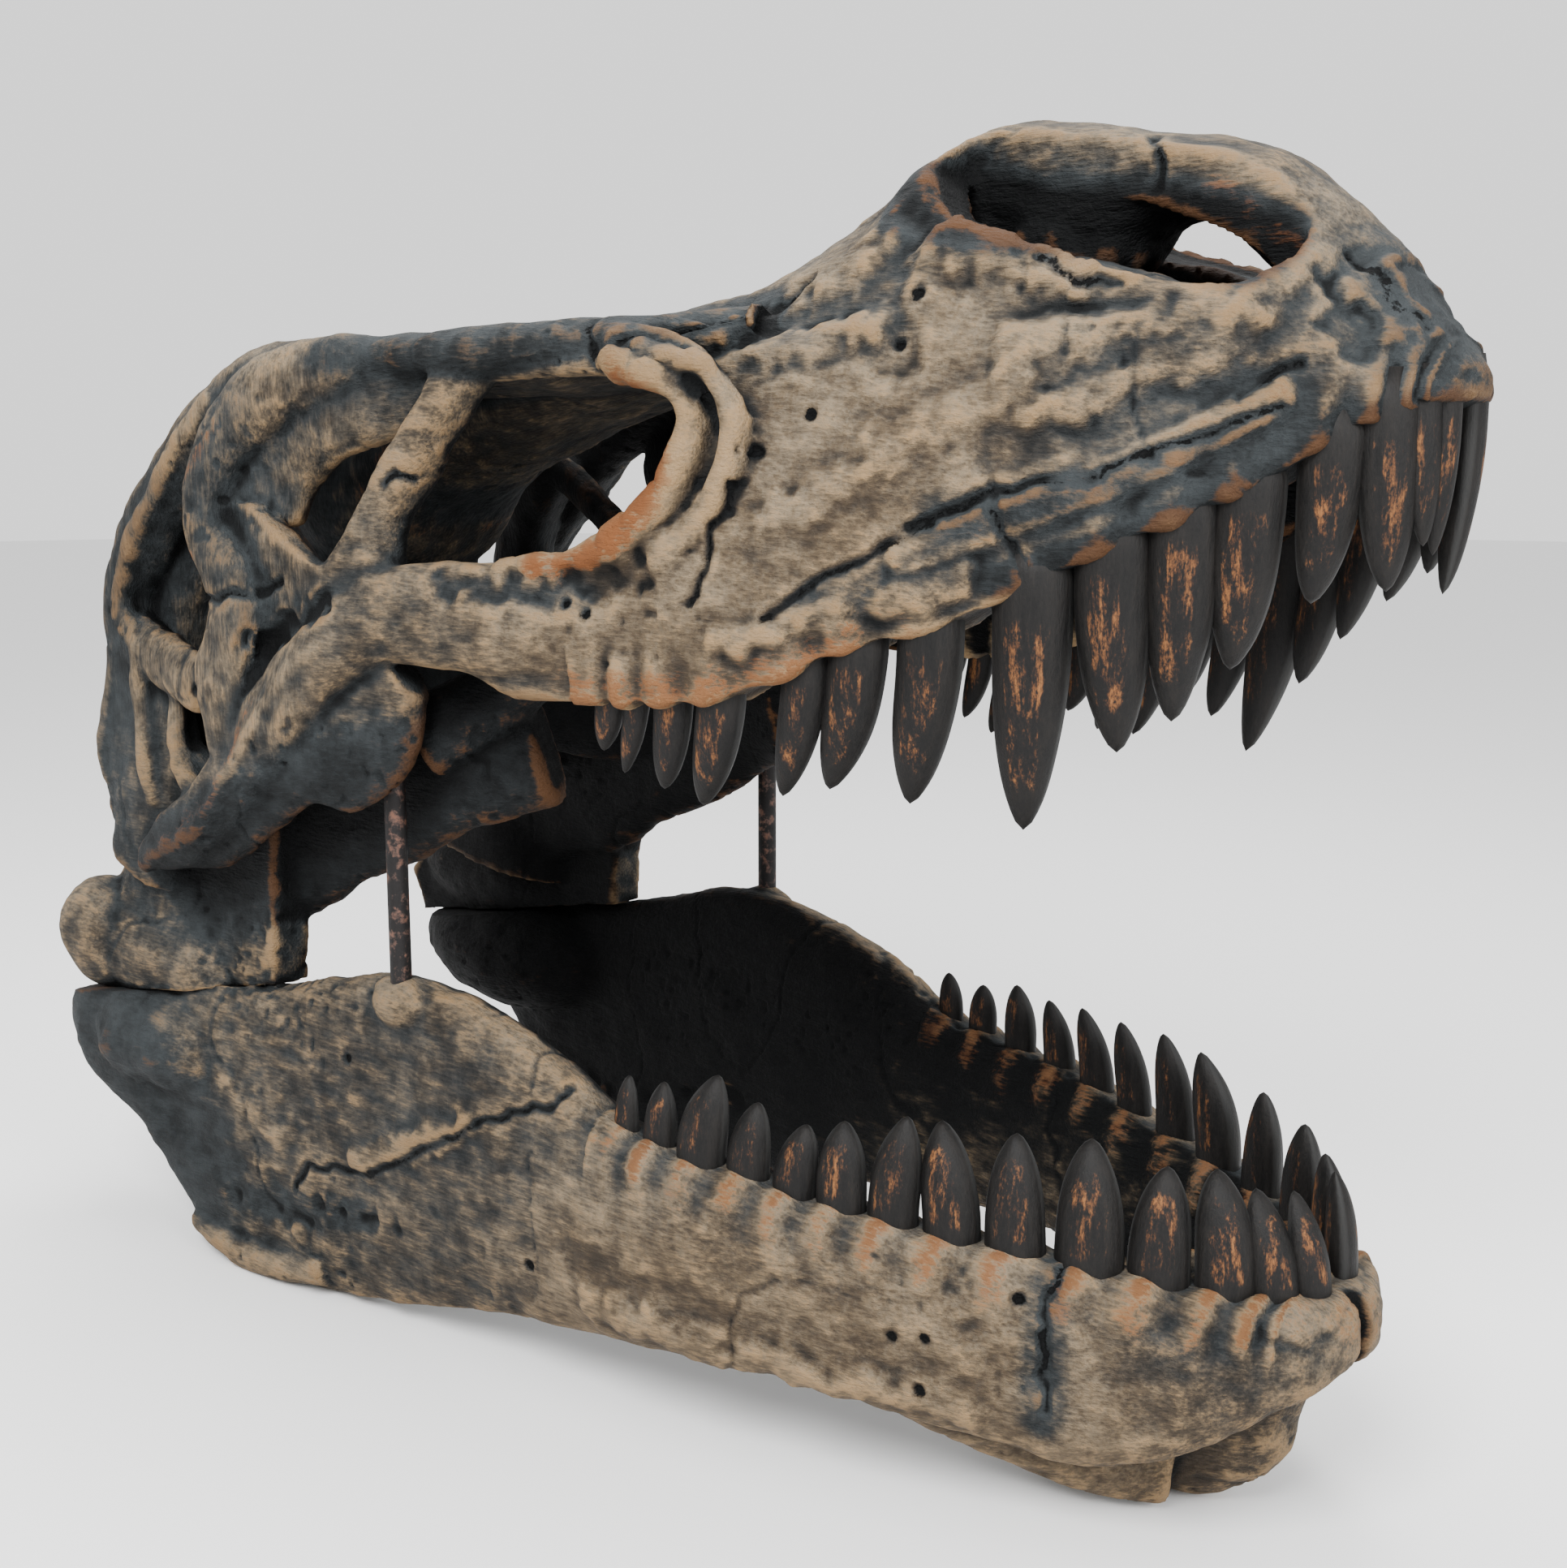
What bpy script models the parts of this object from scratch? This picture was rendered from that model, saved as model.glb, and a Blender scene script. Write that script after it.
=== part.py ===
"""A life-size tyrannosaur skull, jaws agape, on its two display rods.

Metres, +Z up. The snout points along +X, the animal's left is +Y, and the lower jaw
lies on the floor at z = 0. Each half is drawn once, as if on the left side, and
mirrored. Bars, lofts and cutters are fused by a voxel Remesh into a cranium and a
lower jaw, and these are then parted into their bones by thin cuts.
"""

from math import cos, pi, sin

import bmesh
import bpy
import numpy as np
from mathutils import Matrix, Vector

# ---------------------------------------------------------------- driving dimensions

CUT = 0.0005            # width of the cuts between neighbouring bones
VOXEL = 0.008           # grain of the fused bone before it is thinned out
CRANIUM_FACES = 1960    # triangles kept in the cranium and in the lower jaw
JAW_FACES = 640
ROD_RADIUS = 0.0098
ROD_SIDES = 16
ROD_OUT = 0.246         # distance of each rod from the middle plane
ROD_FOOT = 0.300        # heights of the rods' lower and upper ends
ROD_TOP = 0.530
SOCKET_PLAY = 0.0006    # play round a rod in its socket

# Heights of the joint crease between the quadrates and the lower jaw.
CREASE_REAR = (-0.60, 0.228)
CREASE_FRONT = (-0.200, 0.300)

# ---------------------------------------------------------------- small tools

for thing in list(bpy.data.objects):
    bpy.data.objects.remove(thing)

skull = bpy.data.collections.new("tyrannosaur_skull")
cutters = bpy.data.collections.new("cutters")
bpy.context.scene.collection.children.link(skull)
bpy.context.scene.collection.children.link(cutters)


def smooth_rows(rows, steps):
    """Rows of numbers joined by a Catmull-Rom curve, with steps points to a span."""
    rows = np.array(rows, float)
    ends = np.vstack([2 * rows[0] - rows[1], rows, 2 * rows[-1] - rows[-2]])
    out = []
    for i in range(1, len(ends) - 2):
        before, start, end, after = ends[i - 1:i + 3]
        for t in np.arange(steps) / steps:
            out.append(0.5 * (2 * start + (end - before) * t
                              + (2 * before - 5 * start + 4 * end - after) * t ** 2
                              + (3 * start - before - 3 * end + after) * t ** 3))
    return np.array(out + [rows[-1]])


def new_object(name, mesh, collection=cutters):
    thing = bpy.data.objects.new(name, mesh)
    collection.objects.link(thing)
    if collection is cutters:
        thing.hide_render = True
        thing.display_type = "WIRE"
    return thing


def loft(name, rings):
    """A closed skin over rings of equal count, with a flat cap at each end."""
    shape = bmesh.new()
    loops = [[shape.verts.new(point) for point in ring] for ring in rings]
    for low, high in zip(loops, loops[1:]):
        for i in range(len(low)):
            j = (i + 1) % len(low)
            shape.faces.new((low[i], low[j], high[j], high[i]))
    shape.faces.new(loops[0])
    shape.faces.new(loops[-1])
    bmesh.ops.recalc_face_normals(shape, faces=shape.faces)
    mesh = bpy.data.meshes.new(name)
    shape.to_mesh(mesh)
    shape.free()
    return new_object(name, mesh)


def oval(middle, across, up, power=1.0, sides=12):
    """A ring of the superellipse with these half axes; a power under 1 is boxier."""
    ring = []
    for k in range(sides):
        c, s = cos(2 * pi * k / sides), sin(2 * pi * k / sides)
        ring.append(Vector(middle) + Vector(across) * (abs(c) ** power * (1 if c > 0 else -1))
                    + Vector(up) * (abs(s) ** power * (1 if s > 0 else -1)))
    return ring


def bar(name, stations, power=0.9, sides=12, steps=3):
    """A bone along its stations: x, out, z, half breadth in side view, half thickness."""
    rows = smooth_rows(stations, steps)
    path = rows[:, :3]
    along = np.gradient(path, axis=0)
    rings = []
    for point, heading, (breadth, thick) in zip(path, along, rows[:, 3:]):
        heading = Vector(heading).normalized()
        broad = heading.cross(Vector((0, 1, 0))).normalized()
        flat = broad.cross(heading).normalized()
        rings.append(oval(point, broad * breadth, flat * thick, power, sides))
    return loft(name, rings)


def wall(name, stations, power=0.7, sides=14, steps=3):
    """An upright plate along its stations: x, out, low z, high z, half thickness."""
    rows = smooth_rows(stations, steps)
    along = np.gradient(rows[:, :2], axis=0)
    rings = []
    for (x, out, low, high, thick), (dx, dy) in zip(rows, along):
        aside = Vector((-dy, dx, 0)).normalized()
        middle = Vector((x, out, (low + high) / 2))
        rings.append(oval(middle, aside * thick, Vector((0, 0, (high - low) / 2)), power, sides))
    return loft(name, rings)


def lump(name, middle, half_sizes, tilt=0.0):
    """An ellipsoid, tilted about Y."""
    shape = bmesh.new()
    bmesh.ops.create_uvsphere(shape, u_segments=16, v_segments=10, radius=1)
    turn = Matrix.Translation(middle) @ Matrix.Rotation(tilt, 4, "Y") @ Matrix.Diagonal((*half_sizes, 1))
    bmesh.ops.transform(shape, matrix=turn, verts=shape.verts)
    mesh = bpy.data.meshes.new(name)
    shape.to_mesh(mesh)
    shape.free()
    return new_object(name, mesh)


def prism(name, outline, inner, outer):
    """A side-view outline (x, z) made solid between two distances from the middle plane."""
    return loft(name, [[Vector((x, y, z)) for x, z in outline] for y in (inner, outer)])


def rounded(points, steps=4):
    """A closed outline through the points, rounded by a Catmull-Rom curve."""
    wrapped = [points[-1], *points, points[0], points[1]]
    return smooth_rows(wrapped, steps)[steps:-steps - 1]


def evaluated_mesh(thing):
    graph = bpy.context.evaluated_depsgraph_get()
    return bpy.data.meshes.new_from_object(thing.evaluated_get(graph))


def bake(thing):
    """The modifiers applied, so that the mesh is what they make."""
    mesh = evaluated_mesh(thing)
    thing.modifiers.clear()
    thing.data = mesh
    return thing


def cut(thing, tool, operation="DIFFERENCE"):
    step = thing.modifiers.new(tool.name, "BOOLEAN")
    step.operation = operation
    step.object = tool
    step.use_self = operation == "UNION"
    return bake(thing)


def copy_of(thing, name, mirrored=False, grown=0.0):
    """A copy of a shape, perhaps on the right side, perhaps grown outward a little."""
    shape = bmesh.new()
    shape.from_mesh(thing.data)
    if grown:
        shape.normal_update()
        bmesh.ops.recalc_face_normals(shape, faces=shape.faces)
        for vertex, shift in [(v, v.normal * grown * v.calc_shell_factor()) for v in shape.verts]:
            vertex.co += shift
    if mirrored:
        bmesh.ops.scale(shape, vec=(1, -1, 1), verts=shape.verts)
        bmesh.ops.reverse_faces(shape, faces=shape.faces)
    mesh = bpy.data.meshes.new(name)
    shape.to_mesh(mesh)
    shape.free()
    return new_object(name, mesh)


def joined(name, things):
    """One mesh of all the shapes, still separate bodies."""
    shape = bmesh.new()
    for thing in things:
        shape.from_mesh(thing.data)
    mesh = bpy.data.meshes.new(name)
    shape.to_mesh(mesh)
    shape.free()
    return new_object(name, mesh)


def fused(name, things, faces):
    """The shapes and their mirror images as one skin, softened and thinned out."""
    both = things + [copy_of(thing, thing.name + "_r", mirrored=True) for thing in things]
    bone = joined(name, both)
    grain = bone.modifiers.new("grain", "REMESH")
    grain.mode = "VOXEL"
    grain.voxel_size = VOXEL
    soften = bone.modifiers.new("soften", "SMOOTH")
    soften.iterations = 4
    bake(bone)
    thin = bone.modifiers.new("thin", "DECIMATE")
    thin.ratio = faces / (2 * len(bone.data.polygons))
    return bake(bone)


def largest_body(thing):
    """Only the largest loose body of a mesh, without the crumbs that a cut can leave."""
    shape = bmesh.new()
    shape.from_mesh(thing.data)
    left = set(shape.verts)
    bodies = []
    while left:
        body, edge = set(), [left.pop()]
        while edge:
            vertex = edge.pop()
            body.add(vertex)
            near = {e.other_vert(vertex) for e in vertex.link_edges} & left
            left -= near
            edge += near
        bodies.append(body)
    bodies.sort(key=len)
    for body in bodies[:-1]:
        bmesh.ops.delete(shape, geom=list(body), context="VERTS")
    shape.to_mesh(thing.data)
    shape.free()
    return thing


def material(name, colour, roughness, metallic=0.0):
    finish = bpy.data.materials.new(name)
    finish.use_nodes = True
    shader = finish.node_tree.nodes["Principled BSDF"]
    shader.inputs["Base Color"].default_value = (*colour, 1)
    shader.inputs["Roughness"].default_value = roughness
    shader.inputs["Metallic"].default_value = metallic
    finish.diffuse_color = (*colour, 1)
    return finish


# ---------------------------------------------------------------- snout

# The upper jaw is a vault: at each x, the height of its tooth margin, the height of
# its top, its half width at the margin, and how boxy the section is.
SNOUT = [
    (0.03, 0.672, 0.915, 0.240, 0.50),
    (0.11, 0.645, 0.924, 0.256, 0.50),
    (0.19, 0.625, 0.932, 0.262, 0.50),
    (0.30, 0.627, 0.946, 0.254, 0.60),
    (0.38, 0.634, 0.984, 0.243, 0.72),
    (0.44, 0.652, 1.030, 0.230, 0.84),
    (0.49, 0.675, 1.068, 0.215, 0.92),
    (0.58, 0.705, 1.064, 0.184, 0.95),
    (0.66, 0.748, 1.050, 0.154, 0.95),
    (0.73, 0.782, 1.033, 0.126, 0.97),
    (0.78, 0.808, 0.993, 0.104, 1.00),
    (0.82, 0.836, 0.946, 0.083, 1.02),
    (0.85, 0.853, 0.912, 0.060, 1.02),
    (0.866, 0.859, 0.892, 0.040, 1.00),
    (0.878, 0.863, 0.880, 0.014, 1.00),
]
GUM = 0.050             # thickness of the jaw wall at the tooth margin
SHELL = 0.034           # thickness of the vault higher up


def arch(x, low, high, half_width, power, sides=20):
    """The outline of the vault at x: an arch over a straight foot."""
    ring = []
    for k in range(sides + 1):
        turn = pi * k / sides
        out = half_width * abs(cos(turn)) ** power * (1 if cos(turn) > 0 else -1)
        ring.append(Vector((x, out, low + (high - low) * sin(turn) ** power)))
    return ring


outer_rows = smooth_rows(SNOUT, 2)
snout = loft("snout", [arch(*row) for row in outer_rows])

inner_rows = [(x, low, high - SHELL, wide - GUM, power)
              for x, low, high, wide, power in SNOUT if wide > 1.6 * GUM]
inner_rows[0] = (-0.05, *inner_rows[0][1:])
hollow = loft("snout_hollow", [arch(*row) for row in smooth_rows(inner_rows, 2)])
mouth_rows = [(x, low - 0.30, low + 0.02, wide - 0.001, 0.2)
              for x, low, high, wide, power in inner_rows]
mouth = loft("mouth", [arch(*row) for row in smooth_rows(mouth_rows, 2)])

NARIS = [(0.500, 1.14), (0.486, 1.030), (0.520, 0.992), (0.581, 0.970), (0.646, 0.954),
         (0.695, 0.938), (0.740, 0.932), (0.772, 0.950), (0.776, 0.990), (0.752, 1.14)]
NASAL_BAR_HALF = 0.046
ANTORBITAL = [(0.000, 0.735), (0.120, 0.728), (0.190, 0.732), (0.250, 0.732),
              (0.305, 0.755), (0.345, 0.795), (0.352, 0.838), (0.325, 0.872),
              (0.250, 0.890), (0.120, 0.893), (0.000, 0.890)]

naris = prism("naris", NARIS, NASAL_BAR_HALF, 0.30)
antorbital = prism("antorbital", rounded(ANTORBITAL, 2), 0.12, 0.34)
for tool in (hollow, mouth, naris, copy_of(naris, "naris_r", True),
             antorbital, copy_of(antorbital, "antorbital_r", True)):
    cut(snout, tool)

nasal_bar = bar("nasal_bar", [
    (0.42, 0, 1.000, 0.030, 0.050),
    (0.48, 0, 1.016, 0.050, 0.046),
    (0.53, 0, 1.006, 0.062, 0.044),
    (0.59, 0, 1.010, 0.056, 0.044),
    (0.64, 0, 1.022, 0.034, 0.044),
    (0.70, 0, 1.012, 0.030, 0.044),
    (0.76, 0, 0.968, 0.036, 0.046),
    (0.80, 0, 0.930, 0.032, 0.036),
])
palate = bar("palate", [
    (0.22, 0, 0.700, 0.014, 0.215),
    (0.36, 0, 0.712, 0.014, 0.205),
    (0.50, 0, 0.742, 0.014, 0.170),
    (0.64, 0, 0.805, 0.016, 0.120),
    (0.76, 0, 0.868, 0.020, 0.070),
])
CHOANA = [(0.24, 0.045), (0.34, 0.040), (0.44, 0.050), (0.46, 0.085),
          (0.40, 0.120), (0.30, 0.130), (0.235, 0.105)]
choana = loft("choana", [[Vector((x, y, z)) for x, y in rounded(CHOANA, 2)] for z in (0.60, 0.80)])
cut(palate, choana)
cut(palate, copy_of(choana, "choana_r", True))

# ---------------------------------------------------------------- side bars

SIDE_BARS = {
    "jugal_bar": [
        (-0.350, 0.292, 0.414, 0.014, 0.012),
        (-0.290, 0.296, 0.442, 0.030, 0.018),
        (-0.220, 0.298, 0.478, 0.036, 0.022),
        (-0.160, 0.296, 0.530, 0.040, 0.024),
        (-0.100, 0.291, 0.590, 0.042, 0.024),
        (-0.040, 0.285, 0.645, 0.040, 0.024),
        (0.030, 0.276, 0.680, 0.042, 0.024),
        (0.100, 0.266, 0.686, 0.046, 0.024),
        (0.170, 0.256, 0.684, 0.048, 0.024),
        (0.250, 0.242, 0.684, 0.050, 0.024),
        (0.320, 0.224, 0.690, 0.048, 0.022),
        (0.390, 0.200, 0.700, 0.040, 0.016),
    ],
    "jugal_crest": [
        (-0.345, 0.302, 0.408, 0.010, 0.008),
        (-0.275, 0.310, 0.440, 0.010, 0.010),
        (-0.210, 0.316, 0.470, 0.011, 0.011),
        (-0.164, 0.315, 0.516, 0.012, 0.011),
        (-0.120, 0.310, 0.570, 0.012, 0.010),
        (-0.079, 0.305, 0.616, 0.013, 0.010),
        (-0.017, 0.298, 0.656, 0.013, 0.010),
        (0.045, 0.288, 0.674, 0.012, 0.008),
        (0.110, 0.276, 0.680, 0.010, 0.006),
    ],
    "jugal_flange": [
        (-0.300, 0.284, 0.425, 0.016, 0.014),
        (-0.220, 0.284, 0.452, 0.026, 0.017),
        (-0.150, 0.282, 0.500, 0.034, 0.017),
        (-0.095, 0.279, 0.545, 0.050, 0.018),
        (-0.045, 0.273, 0.566, 0.070, 0.018),
        (0.004, 0.267, 0.588, 0.062, 0.018),
        (0.044, 0.262, 0.632, 0.030, 0.018),
    ],
    "lacrimal_strut": [
        (0.098, 0.222, 0.905, 0.036, 0.022),
        (0.082, 0.242, 0.858, 0.022, 0.022),
        (0.046, 0.254, 0.803, 0.024, 0.022),
        (0.022, 0.261, 0.765, 0.029, 0.021),
        (0.006, 0.268, 0.722, 0.042, 0.020),
        (-0.030, 0.277, 0.680, 0.045, 0.018),
        (-0.075, 0.286, 0.632, 0.036, 0.016),
    ],
    "brow_ledge": [
        (-0.040, 0.205, 0.902, 0.020, 0.034),
        (0.040, 0.214, 0.903, 0.020, 0.040),
        (0.100, 0.218, 0.904, 0.023, 0.042),
        (0.170, 0.212, 0.907, 0.021, 0.040),
        (0.250, 0.202, 0.906, 0.022, 0.038),
        (0.320, 0.190, 0.910, 0.020, 0.034),
        (0.390, 0.174, 0.922, 0.016, 0.026),
    ],
    "antorbital_rim": [
        (0.120, 0.222, 0.886, 0.006, 0.006),
        (0.190, 0.228, 0.889, 0.010, 0.010),
        (0.245, 0.232, 0.890, 0.012, 0.012),
        (0.300, 0.238, 0.888, 0.011, 0.014),
        (0.342, 0.236, 0.880, 0.011, 0.015),
        (0.368, 0.233, 0.860, 0.011, 0.015),
        (0.371, 0.233, 0.834, 0.011, 0.015),
        (0.360, 0.236, 0.806, 0.011, 0.015),
        (0.338, 0.240, 0.780, 0.011, 0.014),
        (0.300, 0.246, 0.754, 0.011, 0.013),
        (0.240, 0.254, 0.735, 0.010, 0.010),
        (0.170, 0.262, 0.728, 0.006, 0.006),
    ],
    "fossa_rim": [
        (0.262, 0.228, 0.912, 0.010, 0.010),
        (0.318, 0.236, 0.908, 0.011, 0.012),
        (0.366, 0.235, 0.895, 0.012, 0.013),
        (0.398, 0.230, 0.868, 0.012, 0.013),
        (0.409, 0.228, 0.832, 0.012, 0.013),
        (0.394, 0.231, 0.792, 0.012, 0.012),
        (0.362, 0.238, 0.756, 0.012, 0.010),
        (0.310, 0.246, 0.722, 0.010, 0.007),
    ],
    "postorbital": [
        (-0.020, 0.206, 0.898, 0.022, 0.030),
        (-0.070, 0.232, 0.893, 0.030, 0.032),
        (-0.125, 0.262, 0.875, 0.034, 0.030),
        (-0.170, 0.284, 0.838, 0.031, 0.026),
        (-0.198, 0.293, 0.792, 0.028, 0.023),
        (-0.200, 0.297, 0.750, 0.026, 0.021),
        (-0.172, 0.298, 0.712, 0.030, 0.020),
        (-0.158, 0.299, 0.680, 0.033, 0.019),
        (-0.164, 0.300, 0.650, 0.036, 0.020),
        (-0.184, 0.300, 0.612, 0.038, 0.020),
        (-0.180, 0.300, 0.570, 0.032, 0.020),
        (-0.172, 0.299, 0.530, 0.032, 0.020),
    ],
    "squamosal": [
        (-0.070, 0.212, 0.896, 0.024, 0.030),
        (-0.150, 0.244, 0.886, 0.032, 0.034),
        (-0.225, 0.260, 0.848, 0.034, 0.032),
        (-0.290, 0.264, 0.802, 0.034, 0.028),
        (-0.350, 0.264, 0.748, 0.034, 0.026),
        (-0.398, 0.262, 0.694, 0.031, 0.024),
        (-0.408, 0.262, 0.650, 0.036, 0.024),
        (-0.392, 0.262, 0.605, 0.056, 0.024),
        (-0.386, 0.262, 0.555, 0.080, 0.024),
        (-0.382, 0.262, 0.505, 0.090, 0.026),
        (-0.380, 0.262, 0.455, 0.070, 0.030),
        (-0.404, 0.258, 0.395, 0.056, 0.034),
    ],
    "squamosal_flange": [
        (-0.410, 0.266, 0.640, 0.028, 0.018),
        (-0.350, 0.276, 0.622, 0.028, 0.017),
        (-0.290, 0.286, 0.610, 0.030, 0.016),
        (-0.225, 0.294, 0.602, 0.030, 0.016),
    ],
    "squamosal_crest": [
        (-0.200, 0.284, 0.870, 0.012, 0.012),
        (-0.262, 0.288, 0.816, 0.012, 0.014),
        (-0.322, 0.288, 0.756, 0.012, 0.013),
        (-0.372, 0.284, 0.704, 0.011, 0.012),
        (-0.388, 0.282, 0.660, 0.012, 0.012),
        (-0.352, 0.284, 0.625, 0.013, 0.012),
        (-0.362, 0.284, 0.575, 0.013, 0.012),
        (-0.352, 0.284, 0.520, 0.012, 0.012),
        (-0.345, 0.282, 0.470, 0.012, 0.011),
    ],
    "rear_crest": [
        (-0.400, 0.276, 0.700, 0.010, 0.010),
        (-0.420, 0.274, 0.650, 0.012, 0.011),
        (-0.418, 0.276, 0.600, 0.012, 0.012),
        (-0.440, 0.276, 0.545, 0.014, 0.012),
        (-0.450, 0.274, 0.500, 0.013, 0.012),
        (-0.420, 0.272, 0.450, 0.012, 0.012),
        (-0.405, 0.272, 0.405, 0.012, 0.010),
    ],
    "fenestra_lip": [
        (-0.300, 0.280, 0.580, 0.010, 0.010),
        (-0.296, 0.286, 0.545, 0.010, 0.011),
        (-0.280, 0.288, 0.512, 0.012, 0.012),
        (-0.250, 0.292, 0.488, 0.014, 0.012),
    ],
    "inner_strut": [
        (-0.310, 0.190, 0.810, 0.020, 0.018),
        (-0.260, 0.205, 0.782, 0.018, 0.016),
        (-0.215, 0.212, 0.744, 0.017, 0.015),
        (-0.170, 0.212, 0.706, 0.018, 0.016),
        (-0.120, 0.205, 0.680, 0.020, 0.018),
        (-0.060, 0.190, 0.670, 0.020, 0.018),
    ],
    "quadrate_shaft": [
        (-0.400, 0.215, 0.330, 0.120, 0.060),
        (-0.385, 0.216, 0.420, 0.062, 0.044),
        (-0.388, 0.218, 0.520, 0.040, 0.036),
        (-0.376, 0.218, 0.620, 0.030, 0.034),
        (-0.346, 0.214, 0.730, 0.030, 0.034),
        (-0.296, 0.205, 0.806, 0.036, 0.034),
    ],
    "pterygoid_wing": [
        (0.110, 0.160, 0.560, 0.050, 0.022),
        (0.020, 0.196, 0.530, 0.052, 0.022),
        (-0.060, 0.198, 0.498, 0.062, 0.024),
        (-0.140, 0.200, 0.470, 0.066, 0.024),
        (-0.210, 0.202, 0.442, 0.078, 0.026),
        (-0.300, 0.206, 0.430, 0.090, 0.030),
        (-0.375, 0.212, 0.400, 0.095, 0.038),
    ],
    "pterygoid_sheet": [
        (-0.250, 0.100, 0.600, 0.060, 0.030),
        (-0.290, 0.150, 0.550, 0.070, 0.026),
        (-0.330, 0.200, 0.480, 0.080, 0.024),
    ],
    "palatine_bar": [
        (-0.260, 0.090, 0.560, 0.055, 0.040),
        (-0.180, 0.150, 0.540, 0.060, 0.030),
        (-0.080, 0.205, 0.540, 0.060, 0.026),
    ],
    "ectopterygoid": [
        (0.020, 0.225, 0.570, 0.040, 0.024),
        (0.090, 0.190, 0.610, 0.030, 0.026),
        (0.170, 0.190, 0.660, 0.026, 0.030),
        (0.260, 0.195, 0.690, 0.024, 0.034),
    ],
}

# Thin sheets of bone between the bars: side-view outline, inner and outer face.
SHEETS = {
    "cheek_sheet": ([(-0.195, 0.775), (-0.145, 0.772), (-0.080, 0.735), (-0.020, 0.712),
                     (-0.085, 0.668), (-0.140, 0.600), (-0.200, 0.590)], 0.268, 0.290),
    "quadrate_sheet": ([(-0.440, 0.420), (-0.330, 0.430), (-0.240, 0.450), (-0.185, 0.480),
                        (-0.196, 0.420), (-0.206, 0.300), (-0.215, 0.255), (-0.560, 0.225),
                        (-0.580, 0.285), (-0.510, 0.350)], 0.205, 0.250),
    "quadratojugal": ([(-0.440, 0.400), (-0.465, 0.500), (-0.440, 0.600), (-0.310, 0.590),
                       (-0.292, 0.535), (-0.245, 0.510), (-0.215, 0.460), (-0.335, 0.405)],
                      0.256, 0.278),
}

# The wall behind the eye, between its outer edge and the edge of the deep socket.
SOCKET_OUTER = [(0.030, 0.225, 0.902), (-0.060, 0.238, 0.902), (-0.140, 0.270, 0.872),
                (-0.196, 0.288, 0.812), (-0.200, 0.290, 0.755)]
SOCKET_INNER = [(0.060, 0.205, 0.862), (0.000, 0.215, 0.832), (-0.065, 0.228, 0.818),
                (-0.112, 0.236, 0.788), (-0.122, 0.250, 0.752)]


def web(name, edge, far_edge, half_thickness, steps=2):
    """A curved sheet of bone between two edges."""
    rings = []
    ends = smooth_rows(edge, steps), smooth_rows(far_edge, steps)
    for near, far, heading in zip(*ends, np.gradient(ends[0], axis=0)):
        across = Vector(far - near) / 2
        thick = across.cross(Vector(heading)).normalized() * half_thickness
        rings.append(oval((near + far) / 2, across, thick, 0.6))
    return loft(name, rings)


side_shapes = [bar(name, stations) for name, stations in SIDE_BARS.items()]
side_shapes += [prism(name, outline, inner, outer)
                for name, (outline, inner, outer) in SHEETS.items()]
side_shapes += [
    web("socket_wall", SOCKET_OUTER, SOCKET_INNER, 0.014),
    lump("quadrate_foot", (-0.420, 0.234, 0.296), (0.150, 0.056, 0.064), 0.08),
    lump("quadrate_knob", (-0.498, 0.258, 0.306), (0.070, 0.046, 0.058), 0.45),
    lump("cheek_boss", (-0.180, 0.306, 0.602), (0.026, 0.018, 0.030)),
]

# ---------------------------------------------------------------- roof and braincase

roof = bar("roof", [
    (-0.320, 0, 0.850, 0.028, 0.160),
    (-0.260, 0, 0.872, 0.030, 0.205),
    (-0.190, 0, 0.886, 0.026, 0.220),
    (-0.090, 0, 0.892, 0.024, 0.212),
    (0.020, 0, 0.894, 0.024, 0.212),
    (0.120, 0, 0.896, 0.024, 0.205),
    (0.220, 0, 0.906, 0.024, 0.185),
    (0.320, 0, 0.925, 0.024, 0.150),
], power=0.6, sides=16)
SUPRATEMPORAL = [(-0.275, 0.075), (-0.175, 0.060), (-0.110, 0.085), (-0.110, 0.150),
                 (-0.165, 0.190), (-0.250, 0.180)]
supratemporal = loft("supratemporal",
                     [[Vector((x, y, z)) for x, y in rounded(SUPRATEMPORAL, 2)] for z in (0.8, 1.0)])
cut(roof, supratemporal)
cut(roof, copy_of(supratemporal, "supratemporal_r", True))

MIDDLE_BARS = {
    "nuchal_crest": [
        (-0.352, 0, 0.790, 0.046, 0.150),
        (-0.335, 0, 0.850, 0.030, 0.165),
        (-0.322, 0, 0.902, 0.020, 0.130),
    ],
    "brain_box": [
        (-0.385, 0, 0.760, 0.080, 0.100),
        (-0.310, 0, 0.780, 0.105, 0.130),
        (-0.220, 0, 0.825, 0.074, 0.110),
        (-0.120, 0, 0.850, 0.054, 0.095),
        (0.000, 0, 0.875, 0.034, 0.090),
        (0.130, 0, 0.892, 0.024, 0.080),
    ],
    "skull_floor": [
        (-0.335, 0, 0.780, 0.080, 0.115),
        (-0.330, 0, 0.680, 0.072, 0.105),
        (-0.310, 0, 0.590, 0.060, 0.100),
        (-0.270, 0, 0.530, 0.045, 0.110),
    ],
    "occipital_knob": [
        (-0.400, 0, 0.755, 0.036, 0.036),
        (-0.440, 0, 0.745, 0.026, 0.028),
    ],
}
middle_shapes = [bar(name, stations) for name, stations in MIDDLE_BARS.items()]
wing_of_occiput = bar("occipital_wing", [
    (-0.350, 0.060, 0.800, 0.030, 0.030),
    (-0.362, 0.160, 0.790, 0.030, 0.034),
    (-0.350, 0.240, 0.770, 0.034, 0.030),
])

cranium = fused("cranium", side_shapes + [wing_of_occiput, snout, nasal_bar, palate, roof,
                                          *middle_shapes], CRANIUM_FACES)

# ---------------------------------------------------------------- lower jaw

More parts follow.
